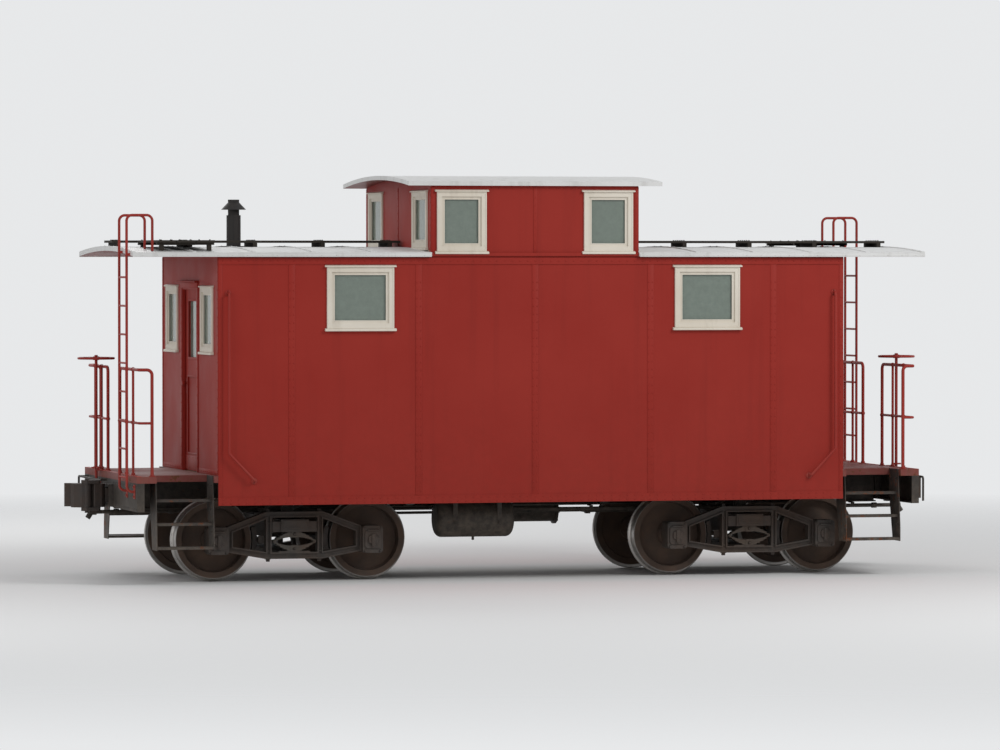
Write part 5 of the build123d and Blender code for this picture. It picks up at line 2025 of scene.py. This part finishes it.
@dataclass
class TruckFittings:
    """Bolts, pins and lid details of a truck, which swivel with it."""

    car: Car
    frame_outer: float = 1.016
    frame_middle: float = 0.961
    box_outer: float = 1.092
    column: float = 0.280
    spring: float = 0.2195
    spring_z: float = 0.430
    wheel: float = 0.838
    lid: float = 0.014
    lid_bolts: tuple = ((0.082, -0.125, 0.012), (0.088, 0.122, 0.010))
    bands: tuple = (0.352, 0.508)

    def column_bolts(self, x: float) -> list[Piece]:
        """Nuts over washers on a frame column's bolt, and two bolt heads on its face.

        Args:
            x: the column's place.

        Returns:
            The pieces.
        """
        axle, y = self.car.axle, -self.frame_middle
        pieces = []
        for z, out in ((axle + 0.300, 1), (axle - 0.200, -1)):
            top = (x, y, z + out * 0.006)
            pieces.append(rod("washer", (x, y, z), top, 0.032, sides=16))
            pieces.append(head(Head.BOLT, top, (0, 0, out), 0.022))
        place = (x, -self.frame_outer + 0.024, axle - 0.12)
        pieces.append(studs(Head.BOLT, place, (0, -1, 0), 0.013, ((0, 0, 0.30), 2)))
        return pieces

    def box_lid(self, x: float) -> list[Piece]:
        """Latch and bolts of a journal box.

        Args:
            x: the box's place.

        Returns:
            The pieces.
        """
        axle, y = self.car.axle, -self.box_outer
        front = y - self.lid
        low, high = (x - 0.02, front - 0.015, axle - 0.078), (x + 0.02, front - 0.026, axle + 0.06)
        pieces = [slab("latch", low, high, edge=0.004)]
        pieces += [
            head(Head.BOLT, (x + side * across, y, axle + up), (0, -1, 0), radius)
            for side in (-1, 1)
            for across, up, radius in self.lid_bolts
        ]
        return pieces

    def half(self) -> list[Piece]:
        """Fittings of the near side of the right truck.

        Returns:
            The pieces.
        """
        x = self.car.truck
        pieces = []
        for way in (-1, 1):
            pieces += self.column_bolts(x + way * self.column)
            eye = x + way * self.spring
            start = (eye, -self.frame_outer - 0.004, self.spring_z)
            pieces.append(rod("pin", start, (eye, -0.906, self.spring_z), 0.009, edge=0.002))
            pieces += self.box_lid(x + way * self.wheel)
        for z in self.bands:
            pieces.append(head(Head.BOLT, (x, -self.frame_outer, z), (0, -1, 0), 0.014))
        end_plate = slab("end", (x - 0.13, -1.036, 0.56), (x + 0.13, -1.042, 0.655), edge=0.002)
        pieces.append(sink(end_plate, (0, -1, 0), 0.014, 0.006, 0.003))
        return pieces

    def build(self, shop: PaintShop) -> None:
        """Build both trucks' fittings.

        Args:
            shop: dresses them.
        """
        whole = both_sides(join("truck_bolts", self.half()))
        shop.ends("truck_{}_bolts", whole, "cast_steel", "truck_{}")


@dataclass
class BrakeFittings:
    """Flange bolts, pipe unions and the reservoir's drain cock under the floor."""

    pipe_y: float = 0.290
    pipe_z: float = 0.710
    cylinder: tuple = (0.640, 0.667)
    tank: tuple = (-0.640, 0.637)
    flange: float = 0.143
    flange_bolts: int = 8
    unions: tuple = (1.4, 2.4, 3.6, 4.2)

    def build(self, shop: PaintShop) -> None:
        """Build the fittings.

        Args:
            shop: dresses them.
        """
        pieces = []
        y, z = self.cylinder
        for face, out in ((0.250, -1), (0.800, 1)):
            for index in range(self.flange_bolts):
                turn = math.tau * index / self.flange_bolts + 0.2
                across, up = self.flange * math.cos(turn), self.flange * math.sin(turn)
                pieces.append(head(Head.BOLT, (face, y + across, z + up), (out, 0, 0), 0.011))
        for _, end in ENDS:
            y = -end * self.pipe_y
            for x in self.unions:
                start, stop = (end * x - 0.03, y, self.pipe_z), (end * x + 0.03, y, self.pipe_z)
                pieces.append(rod("union", start, stop, 0.031, sides=6, edge=0.003))
        y, z = self.tank
        for x in (-0.72, -0.23):
            for side in (-1, 1):
                strap = y + side * 0.206
                low, high = (x, strap, z - 0.055), (x, strap, z - 0.02)
                pieces.append(rod("nut", low, high, 0.012, sides=6))
        x = -0.475
        pieces.append(rod("drain", (x, y, z - 0.235), (x, y, z - 0.19), 0.014, sides=12, edge=0.002))
        cock = z - 0.225
        pieces.append(rod("handle", (x, y - 0.04, cock), (x, y + 0.04, cock), 0.005, sides=8))
        pieces.append(slab("clevis", (0.985, 0.03, 0.640), (1.035, 0.11, 0.694), edge=0.004))
        shop.dress(join("brake_fittings", pieces), "underframe_paint")


@dataclass
class StoveFittings:
    """Fire door, draught slide, feet, shelf rail and hearth plate of the stove."""

    door: float = 0.232
    bands: tuple = ((0.345, 0.234), (0.70, 0.224))
    band: float = 0.008

    def build(self, shop: PaintShop) -> None:
        """Build the fittings.

        Args:
            shop: dresses them.
        """
        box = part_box("stove")
        centre = middle(box)
        x, y, floor = centre.x, centre.y, box[0].z
        front = y - self.door
        low, high = (x - 0.075, front - 0.012, floor + 0.30), (x + 0.075, front + 0.03, floor + 0.44)
        door = slab("door", low, high, edge=0.006)
        sink(door, (0, -1, 0), 0.014, 0.006, 0.004)
        start, stop = (x + 0.055, front - 0.012, floor + 0.37), (x + 0.055, front - 0.034, floor + 0.37)
        knob = rod("knob", start, stop, 0.009, edge=0.003)
        low, high = (x - 0.055, y - 0.225, floor + 0.055), (x + 0.055, y - 0.195, floor + 0.10)
        slide = slab("slide", low, high, edge=0.003)
        sink(slide, (0, -1, 0), 0.006, 0.002, 0.004)
        pieces = [door, knob, slide]
        for index in range(4):
            turn = math.pi / 4 + index * math.pi / 2
            across, along = math.cos(turn), math.sin(turn)
            low = (x + 0.20 * across, y + 0.20 * along, floor)
            high = (x + 0.18 * across, y + 0.18 * along, floor + 0.06)
            pieces.append(rod("foot", low, high, 0.022, sides=10, edge=0.004))
        for height, radius in self.bands:
            clear()
            bpy.ops.mesh.primitive_torus_add(
                location=(x, y, floor + height), major_radius=radius, minor_radius=self.band,
                major_segments=40, minor_segments=8,
            )
            pieces.append(settle(bpy.context.object))
        shop.dress(join("stove_fittings", pieces), "stove_iron")
        low, high = (x - 0.40, y - 0.42, floor), (x + 0.40, y + 0.37, floor + 0.006)
        shop.dress(slab("stove_hearth", low, high, edge=0.002), "stove_iron")


@dataclass
class Joinery:
    """Panelled fronts, doors, drawers, knobs and lids of the cabin's furniture."""

    board: float = 0.018
    gap: float = 0.012

    def front(self, low: tuple, high: tuple, out: int, rim: float = 0.045) -> list[Piece]:
        """A framed panel with a knob, proud of a face that looks along Y.

        Args:
            low: one corner on the face, as x, y and z.
            high: the other corner, at the same y.
            out: 1 where it looks toward +Y, otherwise -1.
            rim: width of the panel's frame.

        Returns:
            The panel and its knob.
        """
        y = low[1]
        panel = slab("front", low, (high[0], y + out * self.board, high[2]), edge=0.002)
        sink(panel, (0, out, 0), rim, 0.008, 0.006)
        knob = ball((0, 0, 0), 0.013, 12, 8)
        with editing(knob, lambda centre, normal: normal.z < -0.7):
            bpy.ops.transform.translate(value=(0, 0, -0.008))
        place = (high[0] - 0.03, y + out * (self.board + 0.014), (low[2] + high[2]) / 2)
        turned(knob, place, (0, out, 0))
        return [panel, knob]

    def row(self, x: tuple, z: tuple, y: float, out: int, count: int) -> list[Piece]:
        """A row of equal fronts.

        Args:
            x: limits of the row.
            z: limits of its height.
            y: the face that it stands on.
            out: 1 where it looks toward +Y, otherwise -1.
            count: how many fronts.

        Returns:
            The fronts.
        """
        width = (x[1] - x[0]) / count
        pieces = []
        for index in range(count):
            start = x[0] + index * width + self.gap / 2
            pieces += self.front((start, y, z[0]), (start + width - self.gap, y, z[1]), out)
        return pieces

    def build(self, shop: PaintShop) -> None:
        """Build the fronts of benches, lockers and desk.

        Args:
            shop: dresses them.
        """
        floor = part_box("floor")[1].z
        pieces = []
        for start, stop, out, y in ((-3.10, -1.40, 1, -0.730), (1.40, 3.00, -1, 0.730)):
            limits = (start + 0.02, stop - 0.02)
            pieces += self.row(limits, (floor + 0.11, floor + 0.39), y, out, 3)
            low, high = (start, y + out * 0.012, floor + 0.40), (stop, y - out * 0.10, floor + 0.42)
            pieces.append(slab("lid", low, high, edge=0.004))
        for side in (-1, 1):
            y = side * 0.430
            for limits in ((-0.98, -0.20), (0.20, 0.98)):
                for low, high in ((0.11, 0.70), (0.72, 1.30)):
                    pieces += self.row(limits, (floor + low, floor + high), y, -side, 2)
            low, high = (-0.15, y, floor + 0.26), (0.15, y - side * 0.012, floor + 0.30)
            pieces.append(grid(slab("cleat", low, high, edge=0.003), ((0, 0, 0.25), 5)))
        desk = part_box("desk")
        x, face = desk[0].x, desk[0].y + 0.520
        for rise in (0.10, 0.31, 0.52):
            low, high = (x + 0.02, face, floor + rise), (x + 0.36, face, floor + rise + 0.19)
            pieces += self.front(low, high, 1, 0.02)
        low, high = (x, desk[0].y, desk[1].z), (desk[1].x, desk[0].y + 0.02, desk[1].z + 0.09)
        pieces.append(slab("shelf", low, high, edge=0.003))
        shop.dress(join("joinery_fronts", pieces), "joinery_wood")


@dataclass
class Cushion:
    """One upholstered pad, blown up as cloth between its sewn edges."""

    name: str
    low: tuple
    high: tuple
    axis: int = 2
    way: int = 1
    crown: float = 0.024
    cell: float = 0.015
    inset: float = 0.006
    seam: float = 0.018
    welt: float = 0.0055

    def __post_init__(self) -> None:
        """Set the corners of the pad before it is filled."""
        low, high = Vector(map(min, self.low, self.high)), Vector(map(max, self.low, self.high))
        for axis in range(3):
            below, above = self.spare(axis)
            low[axis] += below
            high[axis] -= above
        self.corners = (low, high)

    def spare(self, axis: int) -> tuple[float, float]:
        """Room that the filled pad has beyond its start shape.

        Args:
            axis: the axis, 0 to 2.

        Returns:
            The room below and above.
        """
        if axis != self.axis:
            return self.inset, self.inset
        return (0.0005, self.crown) if self.way > 0 else (self.crown, 0.0005)

    def shell(self) -> Piece:
        """The pad before it is filled, evenly meshed.

        Returns:
            The shell.
        """
        piece = slab(self.name, *self.corners, edge=0.014)
        pick(piece)
        remesh = piece.modifiers.new("remesh", "REMESH")
        remesh.mode = "VOXEL"
        remesh.voxel_size = self.cell
        bpy.ops.object.modifier_apply(modifier="remesh")
        return piece

    def seam_distance(self, point: Vector) -> float:
        """How far a point is from the nearest sewn edge of the pad.

        Args:
            point: the point.

        Returns:
            The distance.
        """
        low, high = self.corners
        gaps = sorted(min(abs(point[axis] - low[axis]), abs(high[axis] - point[axis])) for axis in range(3))
        return math.hypot(gaps[0], gaps[1])

    def fill(self, piece: Piece) -> None:
        """Blow the shell up as cloth held at its sewn edges, and keep it within its space.

        Args:
            piece: the shell, which changes.
        """
        pins = piece.vertex_groups.new(name="pins")
        rest = [point.co.copy() for point in piece.data.vertices]
        sewn = [index for index, point in enumerate(rest) if self.seam_distance(point) < self.seam]
        pins.add(sewn, 1.0, "REPLACE")
        cloth = piece.modifiers.new("cloth", "CLOTH")
        cloth.settings.use_pressure = True
        cloth.settings.uniform_pressure_force = 4.0
        cloth.settings.effector_weights.gravity = 0.0
        cloth.settings.vertex_group_mass = "pins"
        for step in range(1, 21):
            bpy.context.scene.frame_set(step)
        pick(piece)
        bpy.ops.object.modifier_apply(modifier="cloth")
        bpy.context.scene.frame_set(1)
        low, high = self.corners
        for point, start in zip(piece.data.vertices, rest):
            move = point.co - start
            if move.length > self.crown:
                move *= self.crown / move.length
            place = start + move
            for axis in range(3):
                below, above = self.spare(axis)
                place[axis] = min(max(place[axis], low[axis] - below), high[axis] + above)
            point.co = place
        piece.vertex_groups.clear()

    def welts(self) -> Piece:
        """Piping round the pad's two broad faces.

        Returns:
            The piping.
        """
        low, high = self.corners
        first, second = (axis for axis in range(3) if axis != self.axis)
        pieces = []
        for level in (low[self.axis] + self.welt, high[self.axis] - self.welt):
            corners = []
            for one, two in ((low, low), (high, low), (high, high), (low, high)):
                corner = Vector((level,) * 3)
                corner[first], corner[second] = one[first], two[second]
                corners.append(corner)
            for start, stop in zip(corners, corners[1:] + corners[:1]):
                pieces.append(rod("welt", start, stop, self.welt, sides=8))
                pieces.append(ball(start, self.welt, 8, 6))
        return join(f"{self.name}_welts", pieces)

    def build(self, shop: PaintShop) -> None:
        """Build the pad and its piping in place of the plain solid.

        Args:
            shop: dresses them.
        """
        pad = self.shell()
        self.fill(pad)
        shop.dress(pad, "cushion_cover", smooth=60.0)
        shop.dress(self.welts(), "cushion_cover", smooth=60.0)
        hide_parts("seat_cushions")


def build_cushions(shop: PaintShop) -> None:
    """Upholster the benches and the cupola's seats.

    Args:
        shop: dresses the cushions.
    """
    bench, seat = 1.5683, 2.4783
    pads = [
        Cushion("bench_cushion_left", (-3.085, -1.365, bench), (-1.415, -0.745, bench + 0.09)),
        Cushion("bench_cushion_right", (1.415, 0.745, bench), (2.985, 1.365, bench + 0.09)),
    ]
    for end_name, end in ENDS:
        for side_name, side in SIDES:
            name = f"{end_name}_{side_name}"
            near, far = side * 0.49, side * 1.28
            pads.append(
                Cushion(f"cupola_seat_{name}", (end * 0.172, near, seat), (end * 0.73, far, seat + 0.11))
            )
            pads.append(
                Cushion(
                    f"cupola_back_{name}", (end * 0.06, near, seat), (end * 0.168, far, seat + 0.62),
                    axis=0, way=end,
                )
            )
    for pad in pads:
        pad.build(shop)


# Studio


@dataclass
class Studio:
    """Pale floor, soft lamps and the photograph's viewpoint."""

    azimuth: float = -15.0
    distance: float = 61.8
    eye_height: float = 3.45
    frame_width: float = 10.9
    sensor: float = 36.0
    floor_size: float = 60.0
    floor_inner: float = 6.0
    floor_outer: float = 22.0

    def floor(self) -> None:
        """Lay the floor, which fades into the background away from the car."""
        clear()
        bpy.ops.mesh.primitive_plane_add(size=self.floor_size, location=(0, 0, -0.0005))
        plane = settle(bpy.context.object)
        plane.name = "studio_floor"
        material, sheet, shader = surface("studio_floor")
        axes = sheet.add("SeparateXYZ", {0: sheet.place()})
        square = sheet.math("POWER", axes.outputs[0], 2.0)
        square = sheet.math("ADD", square, sheet.math("POWER", axes.outputs[1], 2.0))
        share = sheet.ramp(sheet.math("SQRT", square), self.floor_outer, self.floor_inner)
        shader.inputs["Base Color"].default_value = (0.80, 0.80, 0.79, 1.0)
        shader.inputs["Roughness"].default_value = 0.9
        shader.inputs["Specular IOR Level"].default_value = 0.0
        sheet.tree.links.new(share, shader.inputs["Alpha"])
        plane.data.materials.append(material)

    def world(self) -> None:
        """Even light from all round, and a pale background to the camera."""
        world = bpy.data.worlds.new("studio")
        bpy.context.scene.world = world
        world.use_nodes = True
        sheet = Sheet(world.node_tree)
        path = sheet.add("LightPath")
        seen = sheet.math("MAXIMUM", path.outputs["Is Camera Ray"], path.outputs["Is Glossy Ray"])
        seen = sheet.math("MAXIMUM", seen, path.outputs["Is Transmission Ray"])
        plain = sheet.add("Background", {0: (0.96, 0.97, 1.0, 1.0), 1: 0.5})
        pale = sheet.add("Background", {0: (0.80, 0.81, 0.82, 1.0), 1: 1.0})
        both = sheet.add("MixShader", {0: seen, 1: plain.outputs[0], 2: pale.outputs[0]})
        sheet.add("OutputWorld", {0: both.outputs[0]})

    def lamps(self) -> None:
        """Hang the soft lamps: the main one to the front right, as the sun is in the photograph."""
        lamps = (
            ("key", (9.0, -12.0, 12.0), 7.0, 1150.0),
            ("fill", (-12.0, -8.0, 6.0), 8.0, 260.0),
            ("back", (-4.0, 13.0, 10.0), 8.0, 560.0),
        )
        target = middle(cad_box)
        for name, place, size, power in lamps:
            clear()
            bpy.ops.object.light_add(type="AREA", location=place)
            lamp = bpy.context.object
            lamp.name = f"lamp_{name}"
            lamp.data.shape = "DISK"
            lamp.data.size = size
            lamp.data.energy = power
            lamp.rotation_euler = (target - Vector(place)).to_track_quat("-Z", "Y").to_euler()

    def camera(self) -> None:
        """Set the camera at the photograph's angle and distance, its lens long enough to fill the frame."""
        turn = math.radians(self.azimuth)
        target = middle(cad_box)
        place = Vector((math.sin(turn) * self.distance, -math.cos(turn) * self.distance, self.eye_height))
        clear()
        bpy.ops.object.camera_add(location=place)
        camera = bpy.context.object
        camera.rotation_euler = (target - place).to_track_quat("-Z", "Y").to_euler()
        camera.data.sensor_width = self.sensor
        camera.data.lens = self.sensor * self.distance / self.frame_width
        camera.data.clip_end = 500.0
        bpy.context.scene.camera = camera

    def build(self) -> None:
        """Set up the whole studio."""
        self.floor()
        self.world()
        self.lamps()
        self.camera()
        bpy.context.scene.view_settings.view_transform = "Standard"


def main() -> None:
    """Build and dress everything in order."""
    logging.basicConfig(level=logging.INFO, format="%(message)s")
    shop = PaintShop()
    shop.dress_frame()
    car = Car.measure()
    SideSheets(car).build(shop)
    EndSheets(car).build(shop)
    CupolaSheets(car).build(shop)
    WindowTrim(car).build(shop)
    DoorTrim().build(shop)
    RoofTrim(car).build(shop)
    EndFittings(car).build(shop)
    SillFittings(car).build(shop)
    TruckFittings(car).build(shop)
    BrakeFittings().build(shop)
    StoveFittings().build(shop)
    Joinery().build(shop)
    build_cushions(shop)
    Studio().build()


if __name__ == "__main__":
    main()
